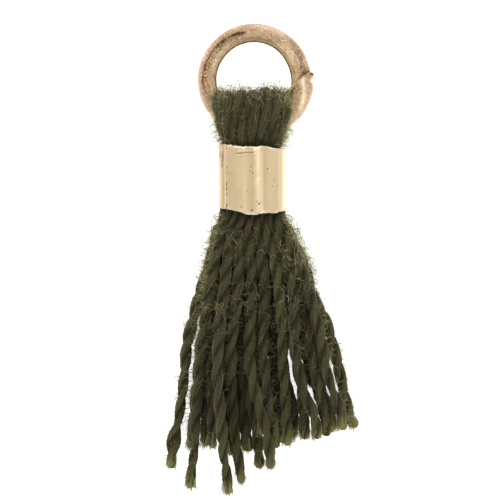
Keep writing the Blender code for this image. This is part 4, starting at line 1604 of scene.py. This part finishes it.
strays = (
    (((-3.22, -5.35), (-2.72, -5.20), (-2.21, -5.27)), 0.011, 0.7),
    (((-0.30, -6.27), (-0.11, -5.85), (0.15, -5.31)), 0.013, 0.7),
    (((1.56, -2.88), (1.92, -4.33), (2.21, -6.14), (2.28, -7.38)), 0.011, 0.5),
    (((-2.14, -8.21), (-1.56, -8.14), (-0.98, -8.21)), 0.009, 0.5),
    (((2.86, -7.74), (3.37, -7.81), (3.95, -7.67)), 0.009, 0.5),
    (((-4.17, -3.75), (-4.02, -3.32), (-3.62, -3.20), (-3.30, -3.54), (-3.18, -4.04)), 0.011, 0.5),
    (((-1.27, -3.32), (-0.40, -3.68), (0.33, -3.83), (0.76, -4.26)), 0.009, 0.5),
    (((-6.49, -12.67), (-5.83, -11.87), (-5.18, -11.65)), 0.010, 0.4),
    (((-0.40, 0.48), (-0.22, 0.68), (0.04, 0.72), (0.33, 0.45)), 0.013, 0.8),
    (((-5.62, -4.98), (-5.18, -4.40), (-4.82, -3.54), (-4.75, -2.81)), 0.011, 0.6),
    (((1.75, 2.60), (2.26, 1.90), (2.47, 1.28), (2.36, 0.67), (2.47, -0.19), (2.43, -1.14)), 0.013, 0.7),
    (((2.05, 2.05), (2.62, 1.30), (2.58, 0.40), (2.86, -0.30)), 0.013, 0.6),
    (((1.60, 3.30), (2.30, 3.05), (2.60, 2.30), (2.35, 1.60)), 0.015, 0.2),
    (((1.55, 3.75), (2.35, 3.70), (2.90, 3.05), (2.85, 2.20)), 0.014, 0.2),
    (((1.78, 3.64), (2.14, 3.42), (2.43, 3.56), (2.64, 3.28)), 0.014, 0.2),
    (((1.99, 3.42), (2.28, 2.91), (2.43, 2.33), (2.57, 1.75)), 0.014, 0.2),
    (((2.14, 3.20), (2.50, 2.77), (2.64, 2.19), (2.50, 1.61)), 0.014, 0.3),
    (((2.28, 2.48), (2.72, 2.04), (2.93, 1.46), (3.01, 0.96)), 0.015, 0.2),
    (((1.70, 4.05), (2.05, 3.95), (2.30, 4.10), (2.50, 3.90)), 0.013, 0.2),
    (((-2.95, 3.55), (-3.55, 3.05), (-3.60, 2.25), (-3.30, 1.60)), 0.014, 0.2),
    (((-2.85, 3.80), (-3.30, 3.65), (-3.50, 3.20), (-3.90, 2.95)), 0.013, 0.2),
    (((-2.57, 10.45), (-2.86, 10.09), (-2.79, 9.43), (-2.59, 8.56)), 0.013, 0.6),
    (((-3.04, 12.12), (-2.64, 11.83), (-2.36, 11.66)), 0.013, 0.6),
    (((-1.05, 12.12), (-0.65, 11.97), (-0.25, 12.43)), 0.013, 0.6),
    (((-4.09, 8.49), (-3.37, 8.64), (-2.86, 8.49), (-2.35, 8.27)), 0.015, 0.2),
    (((-3.95, 9.30), (-3.60, 8.95), (-3.25, 8.80), (-2.95, 8.40)), 0.013, 0.2),
    (((1.45, 8.95), (1.90, 8.60), (2.30, 8.95), (2.10, 9.50)), 0.014, 0.2),
    (((1.60, 8.40), (2.00, 8.15), (2.20, 8.45), (2.05, 8.80)), 0.013, 0.2),
    (((-0.05, 12.90), (0.00, 13.69), (0.37, 14.05), (0.83, 13.90)), 0.009, 0.1),
    (((0.68, 12.45), (0.83, 13.38), (1.31, 13.48), (1.52, 12.96)), 0.010, 0.1),
    (((-3.09, 12.64), (-2.67, 12.88), (-2.14, 12.43)), 0.012, 0.1),
    (((-1.70, 12.40), (-1.45, 12.88), (-1.15, 12.45)), 0.011, 0.1),
    (((0.95, 12.40), (1.25, 12.95), (1.65, 12.75), (1.75, 12.20)), 0.011, 0.1),
)


def restingHeight(x, y):
    # Height of the yarn under each place, from the cords that pass near it
    lines = np.concatenate([skirt["line"].reshape(-1, 3), head["line"].reshape(-1, 3)])
    reach = np.hypot(lines[:, 0] - x[:, None], lines[:, 1] - y[:, None])
    return np.max(np.where(reach < 0.5, lines[:, 2], 0.5), axis=1) + 0.48


def makeStrays(material):
    # Each fibre goes smoothly through its points and lies on the yarn
    steps = 24
    reach = 4
    paths = []
    courses, radius, pale = zip(*strays)
    for course in courses:
        at = np.arange(len(course), dtype=float)
        fine = np.linspace(0, at[-1], steps)
        x, y = (curveThrough(at, values, fine) for values in np.array(course).T)
        height = np.pad(restingHeight(x, y), reach, mode="edge")
        average = np.full(2 * reach + 1, 1 / (2 * reach + 1))
        paths.append(np.stack([x, y, np.convolve(height, average, mode="valid")], axis=1))
    tone = np.full(len(strays), 0.4)
    addThreads("strayFibres", np.array(paths), np.array(radius), tone, np.array(pale), material)


fibreWool = fibreMaterial()
for make in (makeLaidFibres, makeCurls, makeEdgeFuzz, makeFrayedEnds, makeCrown, makeStrays):
    make(fibreWool)
print("loose fibres are added")
